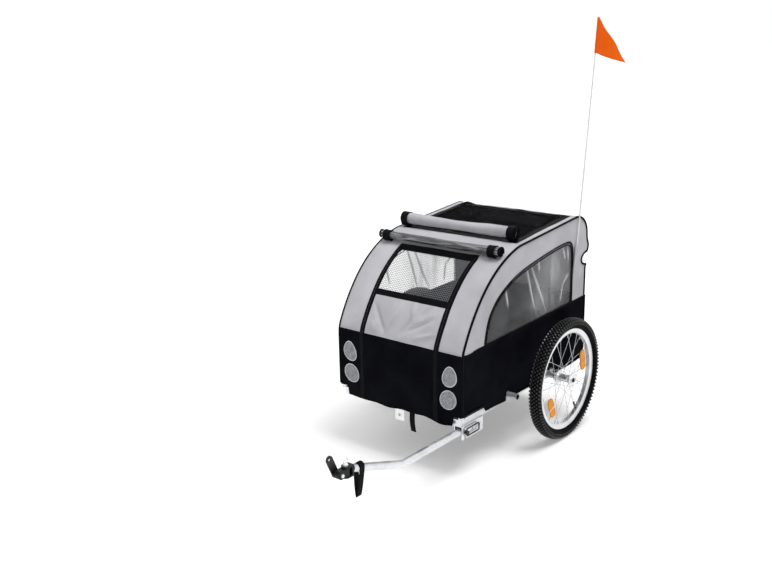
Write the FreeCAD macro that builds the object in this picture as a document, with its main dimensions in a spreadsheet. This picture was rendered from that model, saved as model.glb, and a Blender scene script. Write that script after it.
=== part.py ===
import FreeCAD, Part
import math
import os
from types import SimpleNamespace
from FreeCAD import Placement, Rotation, Vector

# A two-wheeled dog trailer for a bicycle: a steel base frame and two bent hoops, a sewn cover with
# a front door, spoked wheels on stub axles, a folding tow bar with a hitch, and a flag.
# +X points forwards, +Y to the left, +Z up. Places are first taken from the ground under the middle
# of the axle, and every sub-part is then moved so that the origin lies under the middle of the box.

SIZES = {
    # Clearances, and the overrun of every cut.
    "fit_gap": 0.3,
    "running_gap": 0.05,
    "overrun": 2,
    # Wheels: 20 inch tyres on wire-spoked rims.
    "tyre_radius": 252,
    "tyre_half_width": 24,
    "tread_half_width": 18,
    "tread_thickness": 7,
    "shoulder_drop": 5,
    "bead_wall": 3.5,
    "valve_radius": 3,
    "valve_length": 38,
    "valve_cap_radius": 4,
    "valve_cap_length": 14,
    "tyre_height": 43,
    "rim_flange_height": 6,
    "rim_well_depth": 6,
    "rim_floor": 7,
    "rim_half_width": 13,
    "rim_flange": 2.5,
    "rim_well_half_width": 6,
    "rim_spoke_bed_half_width": 8,
    "hub_gap": 10,
    "hub_half_length": 37,
    "hub_flange_half_spacing": 30,
    "hub_flange_radius": 27,
    "hub_flange_thickness": 3,
    "hub_shell_radius": 15,
    "hub_end_radius": 13,
    "hub_cap_thickness": 4,
    "spoke_radius": 1,
    "spoke_hub_offset": 2.6,
    "spoke_rim_offset": 1.2,
    "spoke_rim_side": 3,
    "reflector_length": 92,
    "reflector_width": 38,
    "reflector_half_thickness": 3.2,
    "low_reflector_rim_gap": 29,
    "high_reflector_rim_gap": 22,
    # Stub axles, the tubes that receive them, and the sprung lock knobs.
    "axle_radius": 6,
    "axle_insert": 70,
    "bush_gap": 0.15,
    "bush_length": 60,
    "cross_tube_radius": 12.5,
    "cross_tube_wall": 2.5,
    "cross_tube_stub": 45,
    "front_cross_x": 286,
    "knob_inset": 18,
    "knob_radius": 8,
    "knob_waist_radius": 5.5,
    "knob_height": 15,
    "knob_collar": 4,
    "plunger_radius": 3,
    "plunger_tip": 2,
    # Base frame of square tube.
    "rail_y": 270,
    "rail_size": 25,
    "rail_wall": 1.8,
    "rail_set_back": 12.5,
    "rail_end_wall": 3,
    "rail_rear_gap": 9.5,
    "front_rail_set_back": 22,
    "floor_thickness": 5,
    "floor_edge_gap": 4,
    # Hoops, spigots and cross bars of round tube.
    "hoop_radius": 11,
    "hoop_wall": 1.5,
    "foot_height": 5.5,
    "spigot_gap": 0.2,
    "spigot_length": 45,
    "crossbar_radius": 9,
    "crossbar_wall": 1.5,
    "front_crossbar_set_back": 26,
    "rear_crossbar_set_back": 14,
    # Cover: its side outline as lengths of cloth and bends, from the front hem over the roof.
    "cover_thickness": 2,
    "cover_overhang": 15.5,
    "cover_front_x": 597,
    "front_hem_drop": 34,
    "side_hem_drop": 24,
    "corner_hem_rise": 4,
    "hem_notch_lead": 7,
    "upright_run": 252,
    "lower_bend_radius": 120,
    "front_bend_radius": 700,
    "upper_bend_radius": 480,
    "roof_bend_radius": 250,
    "roof_run": 421.6,
    "rear_bend_radius": 87,
    "door_black_run": 277,
    "door_grey_run": 186,
    "door_mesh_run": 202,
    "rear_waist_rise": 265,
    "door_half_width": 180,
    "piping_radius": 2.5,
    "tube_slot_gap": 1,
    # Side windows, by their distances from the cover's edges.
    "window_front_margin": 139,
    "window_rear_margin": 111,
    "window_top_margin": 95,
    "window_knee_margin": 104,
    "window_knee_set_back": 57,
    "window_corner_radius": 35,
    "window_crown_rise": 13,
    "window_nose_rise": 36,
    # Rolled covers and the webbing loops round them.
    "roof_roll_radius": 29,
    "roof_roll_pitch": 9,
    "roof_roll_sheet": 5.5,
    "roof_roll_set_back": 21,
    "roof_roll_left_inset": 33,
    "roof_roll_right_inset": 8,
    "rain_roll_radius": 22,
    "rain_roll_pitch": 6,
    "rain_roll_sheet": 4,
    "rain_roll_set_back": 39,
    "rain_roll_left_inset": 13,
    "rain_roll_right_inset": 1,
    "loop_width": 32,
    "loop_thickness": 2,
    "roof_loop_inset": 3,
    "rain_loop_inset": 22,
    # Reflective patches, hanging strap and front plate.
    "patch_radius": 38.5,
    "patch_thickness": 1,
    "upper_patch_rise": 189,
    "lower_patch_rise": 97,
    "strap_width": 25,
    "strap_thickness": 1.6,
    "strap_y": 52,
    "strap_length": 101.5,
    "plate_width": 44,
    "plate_thickness": 4,
    "plate_height": 68.5,
    "plate_hole_radius": 7,
    "plate_hole_rise": 23,
    # Tow bracket, bar and pins.
    "bracket_set_back": 4.5,
    "bracket_length": 135,
    "bracket_skirt": 28,
    "bracket_wall": 4,
    "bar_side_gap": 1,
    "pivot_inset": 22,
    "spare_hole_pitch": 48,
    "lock_pin_inset": 18,
    "bolt_radius": 5,
    "bolt_head_radius": 9,
    "bolt_head_height": 6.5,
    "notch_sweep": 5,
    "notch_room": 1,
    "bar_radius": 14,
    "bar_wall": 2,
    "bar_tail": 17,
    "bar_first_run": 443,
    "bar_bend_radius": 90,
    "bar_nose_run": 262,
    "bar_end_rise": 88,
    "lock_pin_radius": 4.5,
    "pin_head_length": 14,
    "pin_head_radius": 8,
    "pin_tip": 6,
    "bail_radius": 2.6,
    "bail_gap": 6,
    "bail_half_width": 14.5,
    "bail_corner": 6,
    "bail_stub": 4,
    # Hitch.
    "clevis_half_width": 15,
    "clevis_web": 8,
    "clevis_plate": 6,
    "clevis_jaw": 28,
    "clevis_throat": 16,
    "clevis_plug": 45,
    "clevis_stand_off": 5,
    "coupler_half_width": 13,
    "coupler_reach": 32,
    "hitch_pin_radius": 5,
    "hitch_pin_tip": 4,
    "hitch_pin_head_radius": 9,
    "hitch_pin_head_height": 5,
    "ring_radius": 10,
    "ring_wire_radius": 1.8,
    "arm_thickness": 5,
    "arm_half_width": 14,
    "arm_bolt_radius": 4,
    "arm_bolt_head_radius": 7,
    "arm_bolt_head_height": 5,
    "eye_radius": 5.25,
    "eye_forward": 26,
    "eye_rise": 57,
    "safety_width": 25,
    "safety_thickness": 2,
    "safety_set_back": 35,
    "safety_drop": 95,
    # Flag.
    "pole_radius": 3,
    "pole_gap": 0.3,
    "pole_inset": 96.5,
    "pole_reach": 912,
    "sleeve_floor": 5,
    "sleeve_depth": 109,
    "sleeve_mouth_drop": 119,
    "flag_hoist": 138,
    "flag_fly_back": 212,
    "flag_fly_out": 33,
    "flag_droop": 48,
    "flag_thickness": 1.2,
}

# Places that follow from the sizes, kept in the same sheet as formulas.
PLACES = {
    "rim_outer_radius": "=tyre_radius - tyre_height",
    "rim_bead_radius": "=rim_outer_radius - rim_flange_height",
    "rim_well_radius": "=rim_bead_radius - rim_well_depth",
    "rim_inner_radius": "=rim_well_radius - rim_floor",
    "rail_z": "=tyre_radius - cross_tube_radius - rail_size / 2",
    "rail_top_z": "=tyre_radius - cross_tube_radius",
    "rail_front_x": "=cover_front_x - rail_set_back",
    "front_rail_x": "=cover_front_x - front_rail_set_back",
    "end_rail_half_length": "=rail_y - rail_size / 2",
    "cover_half_width": "=rail_y + rail_size / 2 + cover_overhang",
    "cross_tube_half_length": "=cover_half_width + cross_tube_stub",
    "track_half": "=cross_tube_half_length + hub_gap + hub_half_length",
    "low_reflector_seat": "=rim_inner_radius - low_reflector_rim_gap - reflector_width / 2",
    "high_reflector_seat": "=rim_inner_radius - high_reflector_rim_gap - reflector_width / 2",
    "floor_z": "=tyre_radius + cross_tube_radius + fit_gap",
    "knob_y": "=cross_tube_half_length - knob_inset",
    "bush_bore": "=axle_radius + bush_gap",
    "hoop_inset": "=cover_thickness + fit_gap + hoop_radius",
    "hoop_y": "=cover_half_width - hoop_inset",
    "hoop_foot_z": "=rail_top_z + foot_height + fit_gap",
    "crossbar_half_length": "=hoop_y - hoop_radius - fit_gap",
    "front_hem_z": "=tyre_radius - front_hem_drop",
    "side_hem_z": "=tyre_radius - side_hem_drop",
    "corner_hem_z": "=tyre_radius + corner_hem_rise",
    "corner_notch": "=cover_overhang + rail_size + fit_gap",
    "rear_waist_z": "=tyre_radius + rear_waist_rise",
    "waist_run": "=door_black_run",
    "band_run": "=door_black_run + door_grey_run",
    "hinge_run": "=door_black_run + door_grey_run + door_mesh_run",
    "piping_y": "=cover_half_width + piping_radius + fit_gap",
    "roof_roll_left_y": "=cover_half_width - roof_roll_left_inset",
    "roof_roll_length": "=2 * cover_half_width - roof_roll_left_inset - roof_roll_right_inset",
    "rain_roll_left_y": "=cover_half_width - rain_roll_left_inset",
    "rain_roll_length": "=2 * cover_half_width - rain_roll_left_inset - rain_roll_right_inset",
    "patch_y": "=(cover_half_width + door_half_width) / 2",
    "upper_patch_z": "=front_hem_z + upper_patch_rise",
    "lower_patch_z": "=front_hem_z + lower_patch_rise",
    "strap_low_z": "=rail_top_z - strap_length",
    "plate_low_z": "=rail_top_z - plate_height",
    "bracket_inner_half": "=bar_radius + bar_side_gap",
    "bracket_outer_half": "=bar_radius + bar_side_gap + bracket_wall",
    "bracket_top_z": "=rail_top_z - rail_size",
    "bar_z": "=bracket_top_z - bracket_wall - sqrt(bar_tail ^ 2 + bar_radius ^ 2) - fit_gap",
    "bracket_low_z": "=bar_z - bracket_skirt",
    "bracket_front_x": "=rail_front_x - bracket_set_back",
    "bracket_rear_x": "=bracket_front_x - bracket_length",
    "bracket_notch_x": "=bracket_rear_x + hem_notch_lead",
    "pivot_x": "=bracket_rear_x + pivot_inset",
    "spare_hole_x": "=pivot_x + spare_hole_pitch",
    "lock_pin_x": "=bracket_front_x - lock_pin_inset",
    "bail_length": "=lock_pin_x - pivot_x - bolt_head_radius - bail_gap",
    "bar_rear_x": "=pivot_x - bar_tail",
    "bar_bend_x": "=pivot_x + bar_first_run",
    "bar_end_x": "=bar_bend_x + bar_nose_run",
    "bar_end_z": "=bar_z + bar_end_rise",
    "hitch_pin_x": "=bar_end_x + clevis_stand_off + clevis_web + clevis_throat",
    "arm_bolt_x": "=hitch_pin_x + coupler_reach",
    "coupler_height": "=clevis_jaw - 2 * fit_gap",
    "eye_x": "=arm_bolt_x + eye_forward",
    "sleeve_y": "=cover_half_width + 2 * piping_radius + 2 * fit_gap + pole_radius",
    "sleeve_radius": "=2 * piping_radius + fit_gap + pole_radius",
}

# Places that also follow from where the cover's outline ends.
REAR_PLACES = {
    "rail_rear_x": "=cover_rear_x + rail_rear_gap",
    "rail_length": "=rail_front_x - rail_rear_x",
    "rear_rail_x": "=rail_rear_x + rail_size / 2",
    "pole_mouth_x": "=cover_rear_x + pole_inset",
    "pole_mouth_z": "=roof_rear_z - sleeve_mouth_drop",
    "pole_foot_z": "=pole_mouth_z - sleeve_depth",
    "pole_top_z": "=pole_mouth_z + pole_reach",
    "flag_foot_z": "=pole_top_z - flag_hoist",
    "flag_foot_x": "=pole_mouth_x - pole_lean_share * (flag_foot_z - pole_mouth_z)",
    "origin_x": "=(eye_x + arm_half_width + flag_foot_x - flag_fly_back) / 2",
}

# Counts, bends in degrees and shares.
POLE_LEAN_SHARE = 0.1217
SPOKE_COUNT = 28
SPOKE_WRAP_DEG = 72
REFLECTOR_DEG = (-43, 165)
REFLECTOR_LEAN_DEG = (20, 5)
VALVE_DEG = 239
LOWER_BEND_DEG = 25
FRONT_BEND_DEG = 15
UPPER_BEND_DEG = 34
ROOF_BEND_DEG = 11
ROLL_HALF_TURNS = 5
RAIN_HALF_TURNS = 4
ROUNDING = 9

ALONG_X = Rotation(Vector(0, 1, 0), 90)
ALONG_Y = Rotation(Vector(1, 0, 0), -90)
UPRIGHT_SKETCH = Rotation(Vector(1, 0, 0), 90)
HALF_TURN = Rotation(Vector(0, 0, 1), 180)

doc = FreeCAD.newDocument("dog_bike_trailer")
sheet = doc.addObject("Spreadsheet::Sheet", "dim")
d = SimpleNamespace()
subparts = []


def fill(cells):
    """Add named cells to the sheet, and read their values back."""
    for row, (name, value) in enumerate(cells.items(), start=len(vars(d)) + 1):
        sheet.set(f"A{row}", name)
        sheet.set(f"B{row}", str(value))
        sheet.setAlias(f"B{row}", name)
    doc.recompute()
    for name in cells:
        setattr(d, name, float(sheet.get(name)))


fill({**SIZES, **PLACES})


def bind(obj, **expressions):
    """Bind properties to sheet expressions."""
    for name, expression in expressions.items():
        obj.setExpression(name, expression)
    return obj


def put(obj, x="0", y="0", z="0", turn=None):
    """Bind a construction shape's place."""
    if turn:
        obj.Placement = Placement(Vector(), turn)
    for axis, expression in zip("xyz", (x, y, z)):
        obj.setExpression(f"Placement.Base.{axis}", expression)
    return obj


def subpart(obj, label, x="0", y="0", z="0", turn=None):
    """Name a finished sub-part and place it about the part's own origin."""
    obj.Label = label
    put(obj, f"{x} - dim.origin_x", y, z, turn)
    subparts.append(obj)
    return obj


def cylinder(name, radius, height, x="0", y="0", z="0", turn=None):
    obj = bind(doc.addObject("Part::Cylinder", name), Radius=radius, Height=height)
    return put(obj, x, y, z, turn)


def block(name, length, width, height, x="0", y="0", z="0"):
    obj = bind(doc.addObject("Part::Box", name), Length=length, Width=width, Height=height)
    return put(obj, x, y, z)


def cut(name, base, *tools):
    """Take tools away from a base, one after the other."""
    for number, tool in enumerate(tools):
        result = doc.addObject("Part::Cut", f"{name}_cut{number}")
        result.Base = base
        result.Tool = tool
        base = result
    return base


def fuse(name, *shapes):
    result = doc.addObject("Part::MultiFuse", f"{name}_fuse")
    result.Shapes = list(shapes)
    return result


def group(label, solids):
    """Several like solids that share one node."""
    obj = doc.addObject("Part::Feature", label)
    obj.Shape = Part.makeCompound(solids)
    return subpart(obj, label)


def drawn(name, plane, edges):
    """A body with a sketch on one of its origin planes."""
    body = doc.addObject("PartDesign::Body", name)
    sketch = body.newObject("Sketcher::SketchObject", f"{name}_sketch")
    face = next(f for f in body.Origin.OriginFeatures if f.Role == plane)
    sketch.AttachmentSupport = [(face, "")]
    sketch.MapMode = "FlatFace"
    for edge in edges:
        sketch.addGeometry(edge)
    return body, sketch


def padded(name, plane, edges, length, symmetric=False):
    body, sketch = drawn(name, plane, edges)
    pad = body.newObject("PartDesign::Pad", f"{name}_pad")
    pad.Profile = sketch
    pad.SideType = "Symmetric" if symmetric else "One side"
    pad.setExpression("Length", length)
    return body


def revolved(name, plane, edges):
    """A turned body: its sketch goes round the sketch's own vertical axis."""
    body, sketch = drawn(name, plane, edges)
    turned = body.newObject("PartDesign::Revolution", f"{name}_turn")
    turned.Profile = sketch
    turned.ReferenceAxis = (sketch, ["V_Axis"])
    turned.Angle = 360
    return body


def line(p, q):
    return Part.LineSegment(Vector(*p, 0), Vector(*q, 0))


def polygon(points):
    return [line(p, q) for p, q in zip(points, [*points[1:], points[0]])]


def arc(centre, radius, start, end):
    """An arc anticlockwise from one angle to another, in degrees."""
    circle = Part.Circle(Vector(*centre, 0), Vector(0, 0, 1), radius)
    return Part.ArcOfCircle(circle, math.radians(start), math.radians(end))


def arc_through(p, q, r):
    """The arc from p to r by way of q."""
    ax, ay = q[0] - p[0], q[1] - p[1]
    bx, by = r[0] - p[0], r[1] - p[1]
    side = 2 * (ax * by - ay * bx)
    a2 = ax * ax + ay * ay
    b2 = bx * bx + by * by
    centre = (p[0] + (by * a2 - ay * b2) / side, p[1] + (ax * b2 - bx * a2) / side)
    radius = math.dist(centre, p)
    first, last = (p, r) if side > 0 else (r, p)
    start = math.degrees(math.atan2(first[1] - centre[1], first[0] - centre[0]))
    end = math.degrees(math.atan2(last[1] - centre[1], last[0] - centre[0]))
    return arc(centre, radius, start, end if end > start else end + 360)


def stadium(start, end, radius):
    """A slot-shaped outline round two centres."""
    heading = math.degrees(math.atan2(end[1] - start[1], end[0] - start[0]))
    side = (-math.sin(math.radians(heading)) * radius, math.cos(math.radians(heading)) * radius)
    return [
        line((start[0] - side[0], start[1] - side[1]), (end[0] - side[0], end[1] - side[1])),
        arc(end, radius, heading - 90, heading + 90),
        line((end[0] + side[0], end[1] + side[1]), (start[0] + side[0], start[1] + side[1])),
        arc(start, radius, heading + 90, heading + 270),
    ]


def circle(centre, radius):
    return Part.Circle(Vector(*centre, 0), Vector(0, 0, 1), radius)


# The cover's side outline, as (bend radius, turn) or (0, run) from the front hem to the rear hem.
REAR_BEND_DEG = 180 - LOWER_BEND_DEG - FRONT_BEND_DEG - UPPER_BEND_DEG - ROOF_BEND_DEG
OUTLINE = [
    (0, d.upright_run),
    (d.lower_bend_radius, LOWER_BEND_DEG),
    (d.front_bend_radius, FRONT_BEND_DEG),
    (d.upper_bend_radius, UPPER_BEND_DEG),
    (d.roof_bend_radius, ROOF_BEND_DEG),
    (0, d.roof_run),
    (d.rear_bend_radius, REAR_BEND_DEG),
]


def span(radius, size):
    """The length of cloth in one stretch of the outline."""
    return radius * math.radians(size) if radius else size


ROOF_START = sum(span(*stretch) for stretch in OUTLINE[:5])
ROOF_END = ROOF_START + d.roof_run
TAIL_END = ROOF_END + span(*OUTLINE[6])


def step(point, heading, radius, size):
    """Where a run or a left turn ends, with its edge."""
    x, y = point
    if not radius:
        way = math.radians(heading)
        end = (x + size * math.cos(way), y + size * math.sin(way))
        return end, heading, line(point, end)
    way = math.radians(heading + 90)
    centre = (x + radius * math.cos(way), y + radius * math.sin(way))
    out = math.radians(heading - 90 + size)
    end = (centre[0] + radius * math.cos(out), centre[1] + radius * math.sin(out))
    return end, heading + size, arc(centre, radius, heading - 90, heading - 90 + size)


def rear_hem_run():
    """The length of cloth from the front hem to the rear hem."""
    (_, top), _, _ = outline_end(TAIL_END)
    return TAIL_END + top - d.side_hem_z


def walk_outline(first, last, inset=0.0):
    """The outline's edges between two lengths of cloth, moved inwards, with their end points."""
    point = (d.cover_front_x - inset, d.front_hem_z)
    heading = 90.0
    run = 0.0
    edges = []
    begin = None
    tail = [(0, max(last - TAIL_END, 0.0))]
    for radius, size in OUTLINE + tail:
        length = span(radius, size)
        if length <= 0:
            continue
        bend = radius - inset if radius else 0
        low = round(min(max((first - run) / length, 0.0), 1.0), ROUNDING)
        high = round(min(max((last - run) / length, 0.0), 1.0), ROUNDING)
        if low > 0:
            point, heading, _ = step(point, heading, bend, size * low)
        if high > low:
            begin = begin or point
            point, heading, edge = step(point, heading, bend, size * (high - low))
            edges.append(edge)
        run += length
        if high < 1:
            break
    return edges, begin, point, heading


def outline_end(run, inset=0.0):
    """The point, heading and outward direction of the outline at a length of cloth."""
    _, _, point, heading = walk_outline(0.0, run, inset)
    way = math.radians(heading - 90)
    return point, heading, (math.cos(way), math.sin(way))


def cloth_strip(first, last):
    """The section of a sheet of cloth along the outline."""
    outer, outer_start, outer_end, _ = walk_outline(first, last)
    inner, inner_start, inner_end, _ = walk_outline(first, last, d.cover_thickness)
    return [*outer, line(outer_end, inner_end), *inner, line(inner_start, outer_start)]


REAR_HEM = rear_hem_run()
TAIL_POINT, _, _ = outline_end(TAIL_END)
ROOF_POINT, _, _ = outline_end(ROOF_END)
fill({"cover_rear_x": TAIL_POINT[0], "roof_rear_z": ROOF_POINT[1]})
fill({"pole_lean_share": POLE_LEAN_SHARE, **REAR_PLACES})
REAR_WAIST = REAR_HEM - (d.rear_waist_z - d.side_hem_z)


def revolve_tyre(name):
    """A hollow tyre whose beads sit between the rim's flanges."""
    bead = d.rim_bead_radius + d.fit_gap
    foot = d.rim_outer_radius + d.fit_gap
    half = d.rim_half_width - d.rim_flange - d.fit_gap
    inner = half - d.bead_wall
    shoulder = d.tyre_radius - d.shoulder_drop
    belly = (foot + shoulder) / 2
    crown = d.tyre_radius - d.tread_thickness
    edges = [
        line((bead, inner), (bead, half)),
        line((bead, half), (foot, half)),
        arc_through((foot, half), (belly, d.tyre_half_width), (shoulder, d.tread_half_width)),
        arc_through((shoulder, d.tread_half_width), (d.tyre_radius, 0), (shoulder, -d.tread_half_width)),
        arc_through((shoulder, -d.tread_half_width), (belly, -d.tyre_half_width), (foot, -half)),
        line((foot, -half), (bead, -half)),
        line((bead, -half), (bead, -inner)),
        line((bead, -inner), (foot, -inner)),
        arc_through((foot, -inner), (crown, 0), (foot, inner)),
        line((foot, inner), (bead, inner)),
    ]
    return revolved(name, "XY_Plane", edges)


def revolve_rim(name):
    """A rim with a bead seat each side and a well between them."""
    inside = d.rim_half_width - d.rim_flange
    half_section = [
        (d.rim_inner_radius, d.rim_spoke_bed_half_width),
        (d.rim_well_radius, d.rim_half_width),
        (d.rim_outer_radius, d.rim_half_width),
        (d.rim_outer_radius, inside),
        (d.rim_bead_radius, inside),
        (d.rim_well_radius, d.rim_well_half_width),
    ]
    other_half = [(r, -y) for r, y in reversed(half_section)]
    return revolved(name, "XY_Plane", polygon(half_section + other_half))


def revolve_hub(name):
    """A flanged hub with a blind bore for the stub axle, open towards the trailer."""
    bore = d.axle_radius + d.running_gap
    out = d.hub_flange_half_spacing + d.hub_flange_thickness / 2
    inn = d.hub_flange_half_spacing - d.hub_flange_thickness / 2
    floor = d.hub_half_length - d.hub_cap_thickness
    points = [
        (bore, -d.hub_half_length),
        (d.hub_end_radius, -d.hub_half_length),
        (d.hub_end_radius, -out),
        (d.hub_flange_radius, -out),
        (d.hub_flange_radius, -inn),
        (d.hub_shell_radius, -inn),
        (d.hub_shell_radius, inn),
        (d.hub_flange_radius, inn),
        (d.hub_flange_radius, out),
        (d.hub_end_radius, out),
        (d.hub_end_radius, d.hub_half_length),
        (0, d.hub_half_length),
        (0, floor),
        (bore, floor),
    ]
    return revolved(name, "XY_Plane", polygon(points))


def spoke_solids():
    """Crossed spokes from the hub's flanges to the rim, about the wheel's centre."""
    near = d.hub_flange_radius + d.spoke_radius + d.fit_gap
    far = d.rim_inner_radius - d.fit_gap
    spokes = []
    for number in range(SPOKE_COUNT):
        side = 1 if number % 2 else -1
        lay = 1 if number // 2 % 2 else -1
        rim_angle = math.radians(360 * number / SPOKE_COUNT)
        hub_angle = rim_angle + lay * math.radians(SPOKE_WRAP_DEG)
        hub_y = side * (d.hub_flange_half_spacing + lay * d.spoke_hub_offset)
        rim_y = side * (d.spoke_rim_side + lay * d.spoke_rim_offset)
        start = Vector(near * math.cos(hub_angle), hub_y, near * math.sin(hub_angle))
        end = Vector(far * math.cos(rim_angle), rim_y, far * math.sin(rim_angle))
        way = end - start
        spokes.append(Part.makeCylinder(d.spoke_radius, way.Length, start, way))
    return spokes


def reflector_solids():
    """Two reflectors held between the spokes, lying nearly across the radius."""
    half = (d.reflector_length - d.reflector_width) / 2
    thick = Vector(0, 2 * d.reflector_half_thickness, 0)
    solids = []
    seats = (d.low_reflector_seat, d.high_reflector_seat)
    for seat, angle, lean in zip(seats, REFLECTOR_DEG, REFLECTOR_LEAN_DEG):
        edges = stadium((seat, -half), (seat, half), d.reflector_width / 2)
        face = Part.Face(Part.Wire([edge.toShape() for edge in edges]))
        face.rotate(Vector(seat, 0, 0), Vector(0, 0, 1), lean)
        face.rotate(Vector(), Vector(0, 0, 1), angle)
        face.rotate(Vector(), Vector(1, 0, 0), 90)
        face.translate(Vector(0, -d.reflector_half_thickness, 0))
        solids.append(face.extrude(thick))
    return solids


def valve_solid():
    """The tyre valve, standing in from the rim between two spokes, with its cap."""
    way = Vector(math.cos(math.radians(VALVE_DEG)), 0, math.sin(math.radians(VALVE_DEG)))
    foot = way * (d.rim_inner_radius - d.fit_gap)
    cap_foot = foot - way * (d.valve_length - d.valve_cap_length)
    stem = Part.makeCylinder(d.valve_radius, d.valve_length - d.valve_cap_length, foot, -way)
    return stem.fuse(Part.makeCylinder(d.valve_cap_radius, d.valve_cap_length, cap_foot, -way))


def wheels():
    for side, sign, turn in (("left", "", None), ("right", "-", HALF_TURN)):
        place = {"y": f"{sign}dim.track_half", "z": "dim.tyre_radius", "turn": turn}
        subpart(revolve_tyre(f"{side}_tyre"), f"{side}_tyre", **place)
        subpart(revolve_rim(f"{side}_rim"), f"{side}_rim", **place)
        subpart(revolve_hub(f"{side}_hub"), f"{side}_hub", **place)
        groups = {"spokes": spoke_solids(), "spoke_reflectors": reflector_solids(), "valve": [valve_solid()]}
        for kind, solids in groups.items():
            node = doc.addObject("Part::Feature", f"{side}_{kind}")
            node.Shape = Part.makeCompound(solids)
            subpart(node, f"{side}_{kind}", **place)


def knob_hole(sign, radius):
    """A hole down into the receiver tube for a lock knob's plunger."""
    foot = Vector(0, sign * d.knob_y, d.tyre_radius)
    return Part.makeCylinder(radius, d.cross_tube_radius + d.overrun, foot)


def axle_gear():
    """Receiver tubes, bushes, stub axles and lock knobs."""
    hole = d.plunger_radius + d.running_gap
    bore = "dim.cross_tube_radius - dim.cross_tube_wall"
    for name, x in (("axle_tube", "0"), ("front_cross_tube", "dim.front_cross_x")):
        low = {"y": "-dim.cross_tube_half_length", "turn": ALONG_Y}
        outer = cylinder(f"{name}_outer", "dim.cross_tube_radius", "2 * dim.cross_tube_half_length", **low)
        inner = cylinder(f"{name}_inner", bore, "2 * dim.cross_tube_half_length", **low)
        tools = [inner]
        if name == "axle_tube":
            for side, sign in (("left", ""), ("right", "-")):
                tools.append(
                    cylinder(
                        f"{name}_{side}_hole",
                        "dim.plunger_radius + dim.running_gap",
                        "dim.cross_tube_radius + dim.overrun",
                        y=f"{sign}dim.knob_y",
                    )
                )
        subpart(cut(name, outer, *tools), name, x=x, z="dim.tyre_radius")

    bushes = []
    axles = []
    reach = d.track_half + d.hub_half_length - d.hub_cap_thickness - d.fit_gap
    foot = d.cross_tube_half_length - d.axle_insert
    for sign in (1, -1):
        out = Vector(0, sign, 0)
        axle = Part.makeCylinder(d.axle_radius, reach - foot, Vector(0, sign * foot, d.tyre_radius), out)
        axles.append(axle.cut(knob_hole(sign, hole)))
        for x in (0, d.front_cross_x):
            start = Vector(x, sign * (d.cross_tube_half_length - d.bush_length), d.tyre_radius)
            ring = Part.makeCylinder(d.cross_tube_radius - d.cross_tube_wall, d.bush_length, start, out)
            ring = ring.cut(Part.makeCylinder(d.bush_bore, d.bush_length, start, out))
            bushes.append(ring if x else ring.cut(knob_hole(sign, hole)))
    group("axle_bushes", bushes)
    group("stub_axles", axles)

    low = d.plunger_tip
    seat = d.cross_tube_radius + d.fit_gap
    points = [
        (0, low),
        (d.plunger_radius, low),
        (d.plunger_radius, seat),
        (d.knob_waist_radius, seat),
        (d.knob_waist_radius, seat + d.knob_collar),
        (d.knob_radius, seat + d.knob_collar + d.fit_gap),
        (d.knob_radius, seat + d.knob_height),
        (0, seat + d.knob_height),
    ]
    for side, sign in (("left", ""), ("right", "-")):
        knob = revolved(f"{side}_lock_knob", "XZ_Plane", polygon(points))
        subpart(knob, f"{side}_lock_knob", y=f"{sign}dim.knob_y", z="dim.tyre_radius")


def base_frame():
    """Square-tube rails closed at the front, with the floor board on the cross tubes."""
    half = d.rail_size / 2
    bore = half - d.rail_wall
    square = [(-half, -half), (half, -half), (half, half), (-half, half)]
    hole = [(-bore, -bore), (bore, -bore), (bore, bore), (-bore, bore)]
    for side, sign in (("left", ""), ("right", "-")):
        name = f"{side}_side_rail"
        tube = padded(f"{name}_tube", "YZ_Plane", polygon(square) + polygon(hole), "dim.rail_length")
        cap = block(
            f"{name}_cap",
            "dim.rail_end_wall",
            "dim.rail_size",
            "dim.rail_size",
            x="dim.rail_length",
            y="-dim.rail_size / 2",
            z="-dim.rail_size / 2",
        )
        subpart(fuse(name, tube, cap), name, x="dim.rail_rear_x", y=f"{sign}dim.rail_y", z="dim.rail_z")

    rails = []
    for x in (d.front_rail_x, d.rear_rail_x):
        outer = Part.makeBox(d.rail_size, 2 * d.end_rail_half_length, d.rail_size)
        corner = Vector(d.rail_wall, 0, d.rail_wall)
        inner = Part.makeBox(2 * bore, 2 * d.end_rail_half_length, 2 * bore, corner)
        rail = outer.cut(inner)
        rail.translate(Vector(x - half, -d.end_rail_half_length, d.rail_z - half))
        rails.append(rail)
    group("end_rails", rails)

    floor = block(
        "floor_board",
        "dim.cover_front_x - dim.cover_thickness - dim.rail_rear_x - dim.floor_edge_gap",
        "2 * (dim.hoop_y - dim.hoop_radius - dim.floor_edge_gap)",
        "dim.floor_thickness",
    )
    subpart(
        floor,
        "floor_board",
        x="dim.rail_rear_x",
        y="-(dim.hoop_y - dim.hoop_radius - dim.floor_edge_gap)",
        z="dim.floor_z",
    )


def swept(name, edges, start, radius, facing=None):
    """A round bar along a sketched path in the upright plane."""
    path = doc.addObject("Sketcher::SketchObject", f"{name}_path")
    path.Placement = Placement(Vector(), UPRIGHT_SKETCH)
    for edge in edges:
        path.addGeometry(edge)
    ring = bind(doc.addObject("Part::Circle", f"{name}_ring"), Radius=radius)
    ring.Placement = Placement(Vector(start[0], 0, start[1]), facing or Rotation())
    bar = doc.addObject("Part::Sweep", f"{name}_sweep")
    bar.Sections = [ring]
    bar.Spine = (path, [f"Edge{number + 1}" for number in range(len(edges))])
    bar.Solid = True
    return bar


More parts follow.
